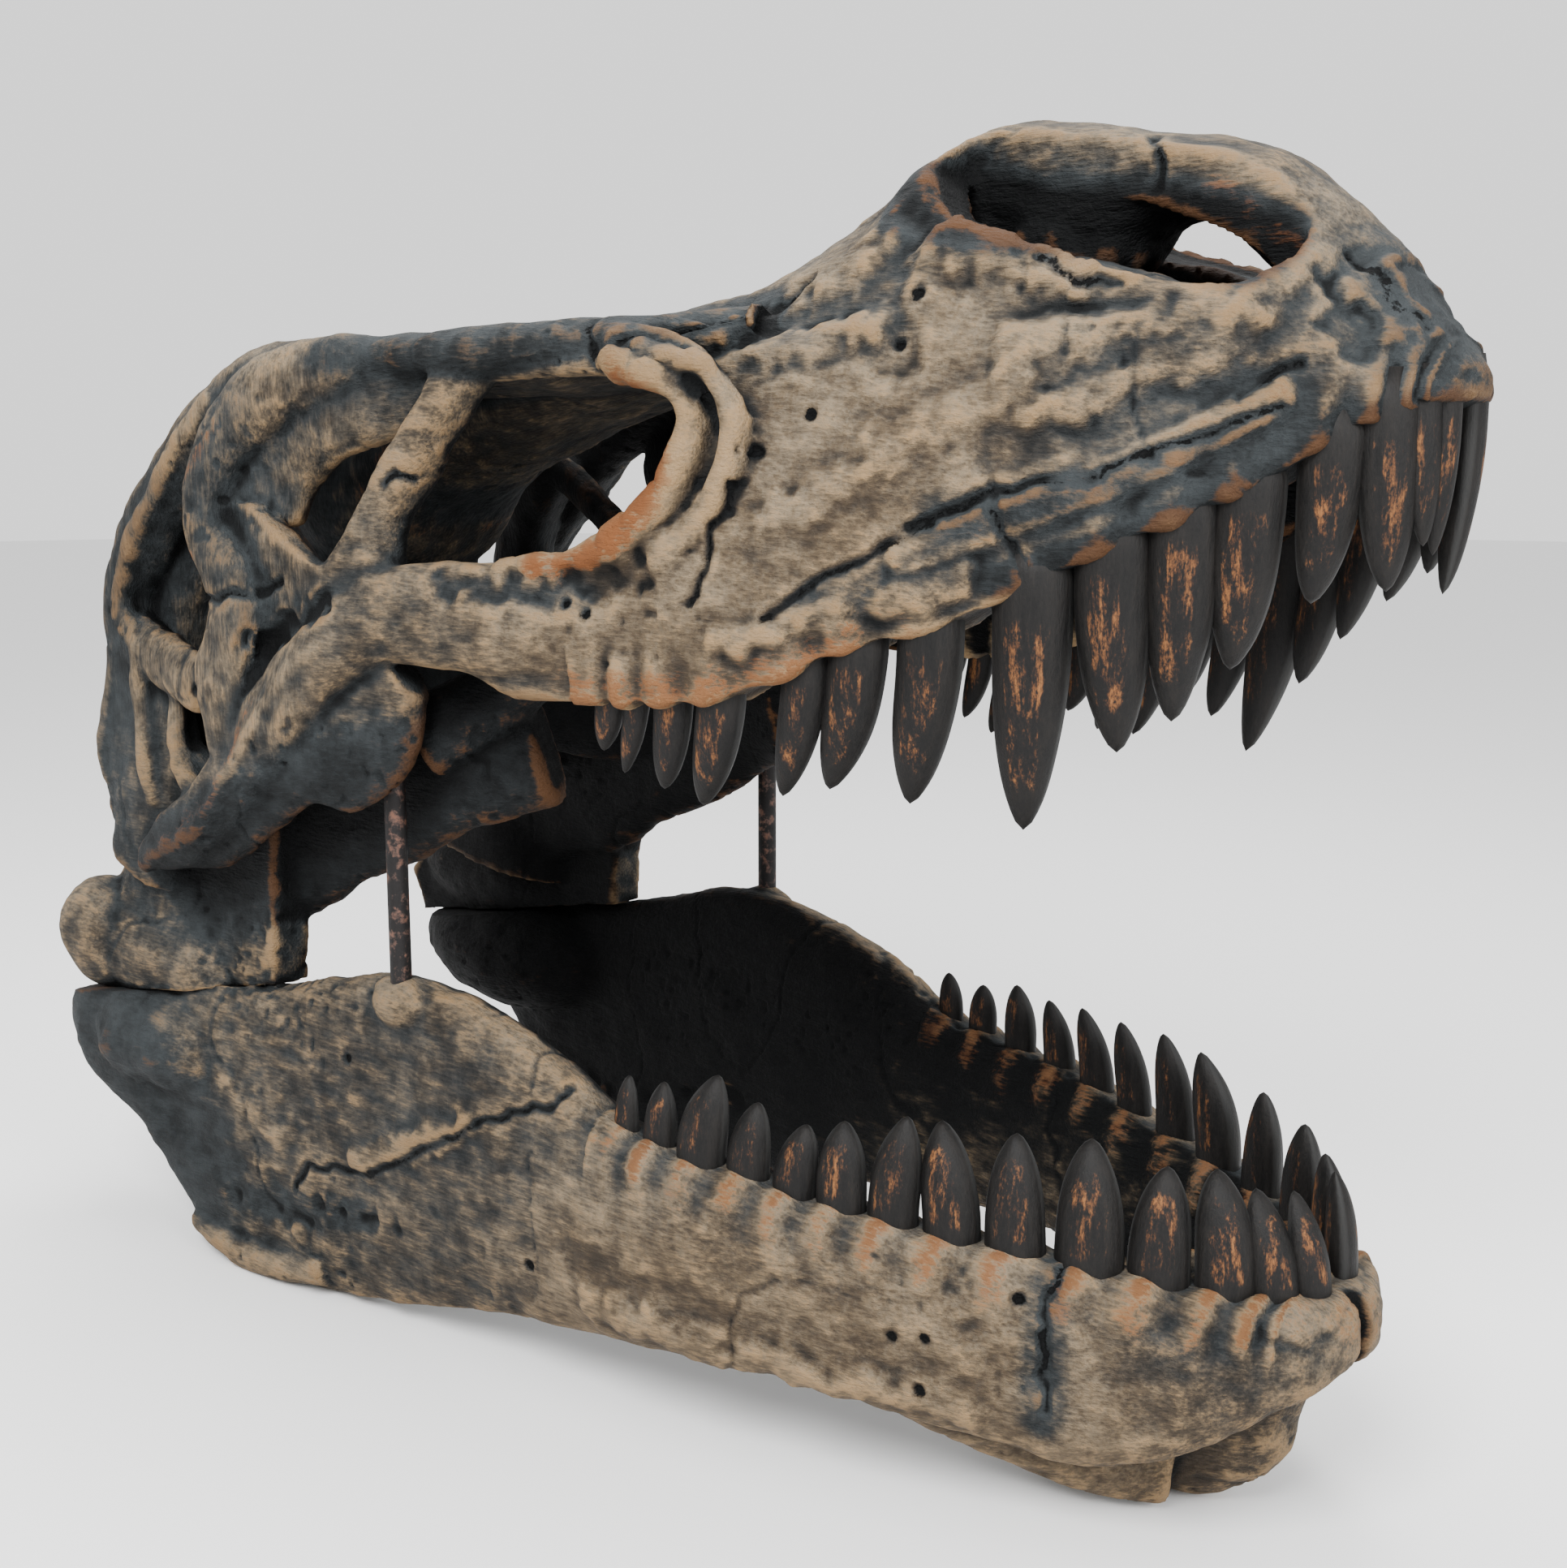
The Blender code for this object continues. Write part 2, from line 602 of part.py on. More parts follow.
ramus = wall("ramus", [
    (-0.540, 0.270, 0.190, 0.245, 0.018),
    (-0.498, 0.268, 0.150, 0.262, 0.032),
    (-0.424, 0.260, 0.108, 0.276, 0.034),
    (-0.360, 0.249, 0.034, 0.282, 0.034),
    (-0.290, 0.246, -0.004, 0.290, 0.034),
    (-0.200, 0.242, -0.004, 0.300, 0.034),
    (-0.110, 0.237, 0.004, 0.324, 0.032),
    (-0.020, 0.231, 0.018, 0.344, 0.032),
    (0.070, 0.228, 0.038, 0.338, 0.032),
    (0.160, 0.224, 0.056, 0.316, 0.032),
    (0.225, 0.222, 0.066, 0.290, 0.034),
    (0.270, 0.221, 0.072, 0.266, 0.035),
    (0.360, 0.212, 0.080, 0.256, 0.036),
    (0.450, 0.192, 0.084, 0.247, 0.036),
    (0.530, 0.168, 0.080, 0.239, 0.036),
    (0.610, 0.141, 0.071, 0.232, 0.036),
    (0.680, 0.112, 0.064, 0.225, 0.036),
    (0.735, 0.084, 0.086, 0.220, 0.036),
    (0.780, 0.052, 0.122, 0.215, 0.034),
    (0.800, 0.024, 0.140, 0.213, 0.032),
    (0.806, 0.000, 0.146, 0.212, 0.030),
])
chin = bar("chin", [
    (0.580, 0, 0.100, 0.040, 0.040),
    (0.630, 0, 0.092, 0.078, 0.050),
    (0.680, 0, 0.097, 0.097, 0.048),
    (0.730, 0, 0.142, 0.076, 0.046),
    (0.780, 0, 0.174, 0.044, 0.034),
], power=0.95)
chin_flank = bar("chin_flank", [
    (0.480, 0.172, 0.112, 0.030, 0.026),
    (0.560, 0.130, 0.088, 0.036, 0.034),
    (0.630, 0.076, 0.062, 0.044, 0.040),
    (0.690, 0.030, 0.054, 0.050, 0.034),
])
articular = lump("articular", (-0.395, 0.225, 0.215), (0.150, 0.085, 0.070), 0.08)
jaw_keel = bar("jaw_keel", [
    (-0.335, 0.247, 0.030, 0.020, 0.034),
    (-0.270, 0.245, 0.020, 0.022, 0.040),
    (-0.190, 0.242, 0.020, 0.022, 0.038),
    (-0.120, 0.238, 0.030, 0.020, 0.034),
])
jaw = fused("jaw", [ramus, chin, chin_flank, articular, jaw_keel], JAW_FACES)

# ---------------------------------------------------------------- meeting at the joint

below_crease = [CREASE_REAR, CREASE_FRONT, (-0.10, CREASE_FRONT[1]), (-0.10, 0), (-0.60, 0)]
above_crease = [CREASE_REAR, CREASE_FRONT, (CREASE_FRONT[0], 0.60), (-0.60, 0.60)]
FLOOR = [(-1, -0.1), (1, -0.1), (1, 0), (-1, 0)]


def raised(outline, rise):
    return [(x, z + rise) for x, z in outline]


cut(cranium, prism("under_crease", raised(below_crease, CUT / 2), -0.5, 0.5))
cut(jaw, prism("over_crease", raised(above_crease, -CUT / 2), -0.5, 0.5))
cut(jaw, prism("floor", FLOOR, -0.5, 0.5))

# ---------------------------------------------------------------- parting into bones

FAR = 1.3               # past every side of the skull
MIDDLE = {
    "nasal": ([(0.10, 0.86), (0.47, 0.925), (0.765, 0.925), (0.765, FAR), (0.10, FAR)], 0.075),
    "braincase": ([(-FAR, 0.50), (0.09, 0.50), (0.09, FAR), (-FAR, FAR)], 0.145),
}
SIDES = {
    "premaxilla": ([(0.786, 0.5), (0.786, 0.870), (0.770, 0.940), (0.765, FAR),
                    (FAR, FAR), (FAR, 0.5)], -1, 1),
    "maxilla": ([(0.235, 0.5), (0.235, 0.660), (0.275, 0.740), (0.300, 0.830), (0.270, 0.900),
                 (0.255, FAR), (FAR, FAR), (FAR, 0.5)], -1, 1),
    "lacrimal": ([(-0.02, 0.716), (0.10, 0.700), (0.30, 0.730), (FAR, 0.8), (FAR, FAR),
                  (0.02, FAR), (0.015, 0.90), (0.04, 0.80)], -1, 1),
    "postorbital": ([(-0.235, 0.600), (-0.130, 0.640), (-0.060, 0.640), (-0.020, 0.716),
                     (0.04, 0.80), (FAR, 0.9), (FAR, FAR), (-0.170, FAR), (-0.200, 0.900),
                     (-0.250, 0.800)], -1, 1),
    "pterygoid": ([(-0.270, 0.1), (FAR, 0.1), (FAR, 0.640), (-0.250, 0.640)], -1, 0.262),
    "jugal": ([(-0.335, 0.30), (FAR, 0.30), (FAR, 0.80), (-0.235, 0.70), (-0.250, 0.55),
               (-0.330, 0.46)], 0.2, 1),
    "quadrate": ([(-FAR, 0.1), (FAR, 0.1), (FAR, 0.46), (-FAR, 0.46)], -1, 1),
}
JAW_SIDES = {
    "dentary": ([(0.240, 0.5), (0.228, 0.285), (0.112, 0.235), (0.020, 0.183), (-0.064, 0.146),
                 (-0.130, 0.138), (-0.175, -0.2), (FAR, -0.2), (FAR, 0.5)], -1, 1),
}


def parted(whole, names, first_cell):
    """Takes the cell out of the whole, and returns the bone that was in it."""
    bone = copy_of(whole, names)
    cut(bone, first_cell, "INTERSECT")
    cut(whole, copy_of(first_cell, names + "_gap", grown=CUT))
    return largest_body(bone)


bones = {}
for name, (outline, reach) in MIDDLE.items():
    bones[name] = parted(cranium, name, prism(name + "_cell", outline, -reach, reach))
half_space = prism("left_half", [(-FAR, -FAR), (FAR, -FAR), (FAR, FAR), (-FAR, FAR)], CUT / 2, 1)
for whole, cells, rest in ((cranium, SIDES, "squamosal"), (jaw, JAW_SIDES, "surangular")):
    cut(whole, half_space, "INTERSECT")
    for name, (outline, inner, outer) in cells.items():
        bones[name] = parted(whole, name, prism(name + "_cell", outline, inner, outer))
    bones[rest] = largest_body(whole)
    bones[rest].name = rest

# ---------------------------------------------------------------- teeth

# Each tooth: x of its root, bare length, width, and how far its tip lies forward.
# The two sides shed and grow their teeth apart, so each has its own row.
TEETH = {
    "maxilla_right": [
        (0.276, 0.050, 0.027, -0.014), (0.303, 0.068, 0.024, -0.022),
        (0.339, 0.080, 0.034, -0.018), (0.385, 0.095, 0.040, -0.028),
        (0.457, 0.106, 0.036, -0.030), (0.498, 0.116, 0.044, -0.034),
        (0.551, 0.140, 0.048, -0.024), (0.622, 0.186, 0.056, -0.010),
        (0.675, 0.150, 0.052, 0.004), (0.720, 0.148, 0.048, -0.008),
        (0.760, 0.130, 0.046, -0.012),
    ],
    "premaxilla_right": [
        (0.808, 0.112, 0.042, -0.012), (0.836, 0.120, 0.040, 0.008),
        (0.853, 0.098, 0.026, 0.010), (0.862, 0.108, 0.022, 0.002),
    ],
    "maxilla_left": [
        (0.262, 0.050, 0.026, -0.010), (0.297, 0.071, 0.030, -0.015),
        (0.340, 0.085, 0.036, -0.020), (0.388, 0.080, 0.036, -0.020),
        (0.434, 0.072, 0.036, -0.015), (0.484, 0.105, 0.042, -0.020),
        (0.534, 0.120, 0.044, -0.020), (0.580, 0.100, 0.040, -0.015),
        (0.626, 0.131, 0.046, -0.015), (0.674, 0.178, 0.052, -0.015),
        (0.722, 0.140, 0.046, -0.012), (0.762, 0.122, 0.042, -0.012),
    ],
    "premaxilla_left": [
        (0.808, 0.118, 0.040, -0.012), (0.835, 0.112, 0.038, 0.000),
        (0.857, 0.135, 0.034, 0.004),
    ],
    "dentary_right": [
        (0.272, 0.046, 0.024, 0.000), (0.308, 0.052, 0.031, 0.002),
        (0.352, 0.074, 0.044, 0.014), (0.396, 0.062, 0.036, 0.008),
        (0.438, 0.056, 0.036, 0.010), (0.478, 0.067, 0.040, 0.000),
        (0.520, 0.084, 0.040, 0.010), (0.566, 0.086, 0.044, -0.014),
        (0.614, 0.090, 0.045, -0.003), (0.666, 0.098, 0.050, -0.002),
        (0.713, 0.088, 0.044, 0.004), (0.755, 0.090, 0.044, -0.010),
        (0.783, 0.078, 0.036, -0.016), (0.800, 0.076, 0.030, -0.014),
    ],
    "dentary_left": [
        (0.275, 0.046, 0.026, 0.000), (0.317, 0.048, 0.030, 0.004),
        (0.367, 0.064, 0.034, 0.000), (0.421, 0.066, 0.034, -0.008),
        (0.472, 0.076, 0.036, -0.012), (0.522, 0.082, 0.036, -0.010),
        (0.576, 0.092, 0.040, -0.008), (0.630, 0.096, 0.044, -0.012),
        (0.684, 0.088, 0.040, 0.006), (0.733, 0.084, 0.042, 0.008),
        (0.774, 0.080, 0.038, 0.000), (0.798, 0.082, 0.032, 0.000),
    ],
}
ROOT = 0.024            # length of a tooth inside its bone
TOOTH_END = 0.97        # where along its length a crown's blunt tip is cut off
TOOTH_SIDES = 6
TOOTH_FLATNESS = 0.80   # a crown's thickness across the jaw over its width along it


def tooth(name, root, down, length, width, lean, aside):
    """A tapering, slightly hooked crown; aside turns its section to follow the jaw."""
    ahead = Vector((aside.y, -aside.x, 0))
    rings = []
    for t in (-ROOT / length, 0.40, 0.76, TOOTH_END):
        t_bare = max(t, 0)
        taper = (1 - t_bare ** 2.3) ** 0.6
        middle = Vector(root) + Vector((lean * t_bare ** 1.6, 0, down * length * t))
        rings.append(oval(middle, ahead * (width / 2 * taper),
                          aside * (width / 2 * TOOTH_FLATNESS * taper), 1.0, TOOTH_SIDES))
    return loft(name, rings)


UPPER_ROW = [(0.25, 0.238, 0.632), (0.30, 0.232, 0.633), (0.38, 0.221, 0.640),
             (0.44, 0.208, 0.658), (0.49, 0.193, 0.681), (0.58, 0.162, 0.711),
             (0.66, 0.132, 0.754), (0.73, 0.104, 0.788), (0.78, 0.082, 0.814),
             (0.82, 0.062, 0.842), (0.85, 0.038, 0.859), (0.868, 0.010, 0.865)]
LOWER_ROW = [(0.20, 0.222, 0.262), (0.27, 0.221, 0.262), (0.36, 0.212, 0.252),
             (0.45, 0.192, 0.243), (0.53, 0.168, 0.235), (0.61, 0.141, 0.228),
             (0.68, 0.112, 0.221), (0.735, 0.084, 0.216), (0.780, 0.052, 0.211),
             (0.800, 0.024, 0.209), (0.81, 0.008, 0.208)]


def with_teeth(bone, teeth, row, down, side):
    """The bone with its teeth grown out of it along their row."""
    xs, outs, heights = zip(*row)
    crowns = []
    for number, (x, length, width, lean) in enumerate(teeth):
        out = np.interp(x, xs, outs)
        turn = (np.interp(x - 0.01, xs, outs) - np.interp(x + 0.01, xs, outs)) / 0.02
        aside = Vector((turn, side, 0)).normalized()
        crowns.append(tooth(f"{bone.name}_tooth_{number}",
                            (x, side * out, np.interp(x, xs, heights)), down, length, width,
                            lean, aside))
    return cut(bone, joined(bone.name + "_teeth", crowns), "UNION")


# ---------------------------------------------------------------- rods and their sockets


def cylinder(name, radius, low, high, collection=cutters):
    shape = bmesh.new()
    bmesh.ops.create_cone(shape, cap_ends=True, segments=ROD_SIDES, radius1=radius, radius2=radius,
                          depth=high - low)
    bmesh.ops.translate(shape, vec=(0, ROD_OUT, (low + high) / 2), verts=shape.verts)
    mesh = bpy.data.meshes.new(name)
    shape.to_mesh(mesh)
    shape.free()
    return new_object(name, mesh, collection)


socket = cylinder("socket", ROD_RADIUS + SOCKET_PLAY, ROD_FOOT - CUT, ROD_TOP + CUT)
for name in ("surangular", "pterygoid", "jugal"):
    cut(bones[name], socket)
bones["rod"] = cylinder("rod", ROD_RADIUS, ROD_FOOT, ROD_TOP)

# ---------------------------------------------------------------- finish and place

BONE = material("fossil_bone", (0.16, 0.13, 0.11), 0.72)
STEEL = material("dark_steel", (0.06, 0.05, 0.05), 0.45, 1.0)
SHARP = 0.7             # radians between faces that make a crease
NEARLY_FLAT = 0.050     # radians between faces that are merged into one

TOOTH_ROWS = {"maxilla": (UPPER_ROW, -1), "premaxilla": (UPPER_ROW, -1),
              "dentary": (LOWER_ROW, 1)}


def keep(final):
    """Makes a finished bone or rod a part of the skull."""
    cutters.objects.unlink(final)
    skull.objects.link(final)
    final.hide_render = False
    final.display_type = "TEXTURED"
    final.data.materials.clear()
    final.data.materials.append(STEEL if final.name.startswith("rod") else BONE)
    final.data.shade_smooth()
    final.data.set_sharp_from_angle(angle=SHARP)


for name, bone in bones.items():
    bone.name = name + "_drawn"
    flat = bone.modifiers.new("flat", "DECIMATE")
    flat.decimate_type = "DISSOLVE"
    flat.angle_limit = NEARLY_FLAT
    bake(bone)
    if name in MIDDLE:
        keep(copy_of(bone, name))
        continue
    for side_name, side in (("_left", 1), ("_right", -1)):
        final = copy_of(bone, name + side_name, mirrored=side < 0)
        if name in TOOTH_ROWS:
            with_teeth(final, TEETH[final.name], *TOOTH_ROWS[name], side)
        keep(final)

ends = [corner[0] for final in skull.objects for corner in final.bound_box]
to_origin = Matrix.Translation((-(min(ends) + max(ends)) / 2, 0, 0))
for final in skull.objects:
    final.data.transform(to_origin)
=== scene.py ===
"""A tyrannosaur skull fossil, life size, as a museum shows it: the looks of every bone.

Metres, +Z up. The snout points along +X and the animal's left is +Y. Bones are drawn
with the foot of the display rods at x = 0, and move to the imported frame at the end.
"""
from math import cos, pi, radians, sin

import bmesh
import bpy
import numpy as np
from mathutils import Matrix, Vector
from mathutils.bvhtree import BVHTree
from mathutils.kdtree import KDTree


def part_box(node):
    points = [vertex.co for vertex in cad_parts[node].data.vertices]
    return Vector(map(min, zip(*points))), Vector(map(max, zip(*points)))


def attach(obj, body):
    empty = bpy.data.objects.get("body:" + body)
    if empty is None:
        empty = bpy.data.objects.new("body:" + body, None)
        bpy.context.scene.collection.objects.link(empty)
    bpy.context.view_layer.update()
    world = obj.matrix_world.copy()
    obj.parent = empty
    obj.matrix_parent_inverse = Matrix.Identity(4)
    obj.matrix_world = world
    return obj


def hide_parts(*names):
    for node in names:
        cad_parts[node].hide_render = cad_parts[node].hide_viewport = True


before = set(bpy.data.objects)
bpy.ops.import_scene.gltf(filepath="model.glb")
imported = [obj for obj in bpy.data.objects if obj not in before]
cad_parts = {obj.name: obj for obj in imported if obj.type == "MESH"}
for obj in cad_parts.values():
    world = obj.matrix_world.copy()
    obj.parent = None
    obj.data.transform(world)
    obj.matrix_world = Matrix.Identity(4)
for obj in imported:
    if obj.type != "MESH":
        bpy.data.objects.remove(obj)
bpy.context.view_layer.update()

# ---------------------------------------------------------------- the snout
# Maxillae, premaxillae and nasals make one vault over the mouth, open at the nostrils
# and in front of the eyes. It is drawn as a loft of arches, and the hollow, the mouth
# and the openings are cut out of it.

workshop = bpy.data.collections.new("workshop")
bpy.context.scene.collection.children.link(workshop)


def smooth_rows(rows, steps):
    """Rows of numbers joined by a Catmull-Rom curve, with steps points to a span."""
    rows = np.array(rows, float)
    ends = np.vstack([2 * rows[0] - rows[1], rows, 2 * rows[-1] - rows[-2]])
    out = []
    for i in range(1, len(ends) - 2):
        before, start, end, after = ends[i - 1:i + 3]
        for t in np.arange(steps) / steps:
            out.append(0.5 * (2 * start + (end - before) * t
                              + (2 * before - 5 * start + 4 * end - after) * t ** 2
                              + (3 * start - before - 3 * end + after) * t ** 3))
    return np.array(out + [rows[-1]])


def drawn(name, shape):
    """A bmesh made into a hidden shape in the workshop."""
    mesh = bpy.data.meshes.new(name)
    shape.to_mesh(mesh)
    shape.free()
    thing = bpy.data.objects.new(name, mesh)
    workshop.objects.link(thing)
    thing.hide_render = True
    return thing


def loft(name, rings):
    """A closed skin over rings of equal count, with a flat cap at each end."""
    shape = bmesh.new()
    loops = [[shape.verts.new(point) for point in ring] for ring in rings]
    for low, high in zip(loops, loops[1:]):
        for i in range(len(low)):
            j = (i + 1) % len(low)
            shape.faces.new((low[i], low[j], high[j], high[i]))
    shape.faces.new(loops[0])
    shape.faces.new(loops[-1])
    bmesh.ops.recalc_face_normals(shape, faces=shape.faces)
    return drawn(name, shape)


def prism(name, outline, inner, outer):
    """A side-view outline (x, z) made solid between two distances from the middle plane."""
    return loft(name, [[Vector((x, y, z)) for x, z in outline] for y in (inner, outer)])


def rounded(points, steps=4):
    """A closed outline through the points, rounded by a Catmull-Rom curve."""
    wrapped = [points[-1], *points, points[0], points[1]]
    return smooth_rows(wrapped, steps)[steps:-steps - 1]


def bake(thing):
    """The modifiers applied, so that the mesh is what they make."""
    graph = bpy.context.evaluated_depsgraph_get()
    mesh = bpy.data.meshes.new_from_object(thing.evaluated_get(graph))
    thing.modifiers.clear()
    thing.data = mesh
    return thing


def cut(thing, tool, operation="DIFFERENCE"):
    step = thing.modifiers.new(tool.name, "BOOLEAN")
    step.operation = operation
    step.object = tool
    return bake(thing)


def other_side(thing):
    """The shape's mirror image, on the animal's right."""
    shape = bmesh.new()
    shape.from_mesh(thing.data)
    bmesh.ops.scale(shape, vec=(1, -1, 1), verts=shape.verts)
    bmesh.ops.reverse_faces(shape, faces=shape.faces)
    return drawn(thing.name + "_r", shape)


# At each x: the height of the tooth margin, the height of the top, the half width at
# the margin, and how boxy the section is.
SNOUT = [
    (0.03, 0.672, 0.915, 0.24, 0.5), (0.11, 0.645, 0.924, 0.256, 0.5),
    (0.19, 0.625, 0.932, 0.262, 0.5), (0.3, 0.627, 0.946, 0.254, 0.6),
    (0.38, 0.634, 0.984, 0.243, 0.72), (0.44, 0.652, 1.03, 0.23, 0.84),
    (0.49, 0.675, 1.068, 0.215, 0.92), (0.58, 0.705, 1.064, 0.184, 0.95),
    (0.66, 0.748, 1.05, 0.154, 0.95), (0.73, 0.782, 1.033, 0.126, 0.97),
    (0.78, 0.808, 0.993, 0.104, 1.0), (0.82, 0.836, 0.946, 0.083, 1.02),
    (0.85, 0.853, 0.912, 0.06, 1.02), (0.866, 0.859, 0.892, 0.04, 1.0),
    (0.878, 0.863, 0.88, 0.014, 1.0),
]
GUM = 0.050             # thickness of the jaw wall at the tooth margin
SHELL = 0.034           # thickness of the vault higher up


def arch(x, low, high, half_width, power, sides=40):
    """The outline of the vault at x: an arch over a straight foot."""
    ring = []
    for k in range(sides + 1):
        turn = pi * k / sides
        out = half_width * abs(cos(turn)) ** power * (1 if cos(turn) > 0 else -1)
        ring.append(Vector((x, out, low + (high - low) * sin(turn) ** power)))
    return ring


snout = loft("snout", [arch(*row) for row in smooth_rows(SNOUT, 5)])
inner_rows = [(x, low, high - SHELL, wide - GUM, power)
              for x, low, high, wide, power in SNOUT if wide > 1.6 * GUM]
inner_rows[0] = (-0.05, *inner_rows[0][1:])
hollow = loft("snout_hollow", [arch(*row) for row in smooth_rows(inner_rows, 4)])
mouth_rows = [(x, low - 0.30, low + 0.02, wide - 0.001, 0.2)
              for x, low, high, wide, power in inner_rows]
mouth = loft("mouth", [arch(*row) for row in smooth_rows(mouth_rows, 4)])

NARIS = [(0.500, 1.14), (0.486, 1.030), (0.520, 0.992), (0.581, 0.970), (0.646, 0.954),
         (0.695, 0.938), (0.740, 0.932), (0.772, 0.950), (0.776, 0.990), (0.752, 1.14)]
NASAL_BAR_HALF = 0.046
ANTORBITAL = [(0.000, 0.735), (0.120, 0.728), (0.190, 0.732), (0.250, 0.732),
              (0.305, 0.755), (0.345, 0.795), (0.352, 0.838), (0.325, 0.872),
              (0.250, 0.890), (0.120, 0.893), (0.000, 0.890)]
naris = prism("naris", NARIS, NASAL_BAR_HALF, 0.30)
antorbital = prism("antorbital", rounded(ANTORBITAL), 0.12, 0.34)
for tool in (hollow, mouth, naris, other_side(naris), antorbital, other_side(antorbital)):
    cut(snout, tool)


def oval(middle, across, up, power=1.0, sides=24):
    """A ring of the superellipse with these half axes; a power under 1 is boxier."""
    ring = []
    for k in range(sides):
        c, s = cos(2 * pi * k / sides), sin(2 * pi * k / sides)
        ring.append(Vector(middle) + Vector(across) * (abs(c) ** power * (1 if c > 0 else -1))
                    + Vector(up) * (abs(s) ** power * (1 if s > 0 else -1)))
    return ring


def bar(name, stations, power=0.9, steps=7):
    """A bone along its stations: x, out, z, half breadth in side view, half thickness."""
    rows = smooth_rows(stations, steps)
    path = rows[:, :3]
    along = np.gradient(path, axis=0)
    rings = []
    for point, heading, (breadth, thick) in zip(path, along, rows[:, 3:]):
        heading = Vector(heading).normalized()
        broad = heading.cross(Vector((0, 1, 0))).normalized()
        flat = broad.cross(heading).normalized()
        rings.append(oval(point, broad * breadth, flat * thick, power))
    return loft(name, rings)


nasal_bar = bar("nasal_bar", [
    (0.42, 0, 1.0, 0.03, 0.05), (0.48, 0, 1.016, 0.05, 0.046), (0.53, 0, 1.006, 0.062, 0.044),
    (0.59, 0, 1.01, 0.056, 0.044), (0.64, 0, 1.022, 0.034, 0.044), (0.7, 0, 1.012, 0.03, 0.044),
    (0.76, 0, 0.968, 0.036, 0.046), (0.8, 0, 0.93, 0.032, 0.036),
])
palate = bar("palate", [
    (0.22, 0, 0.7, 0.014, 0.215), (0.36, 0, 0.712, 0.014, 0.205), (0.5, 0, 0.742, 0.014, 0.17),
    (0.64, 0, 0.805, 0.016, 0.12), (0.76, 0, 0.868, 0.02, 0.07),
])
CHOANA = [(0.24, 0.045), (0.34, 0.040), (0.44, 0.050), (0.46, 0.085),
          (0.40, 0.120), (0.30, 0.130), (0.235, 0.105)]
choana = loft("choana", [[Vector((x, y, z)) for x, y in rounded(CHOANA)] for z in (0.60, 0.80)])
cut(palate, choana)
cut(palate, other_side(choana))

# ---------------------------------------------------------------- cheek and palate bones
# Behind the snout the skull is a cage of bars: jugal below, lacrimal and postorbital
# upright, squamosal behind, and the quadrate and pterygoid inside them. Each bar is
# lofted through a few ovals, and the thick joints between them are lumps.

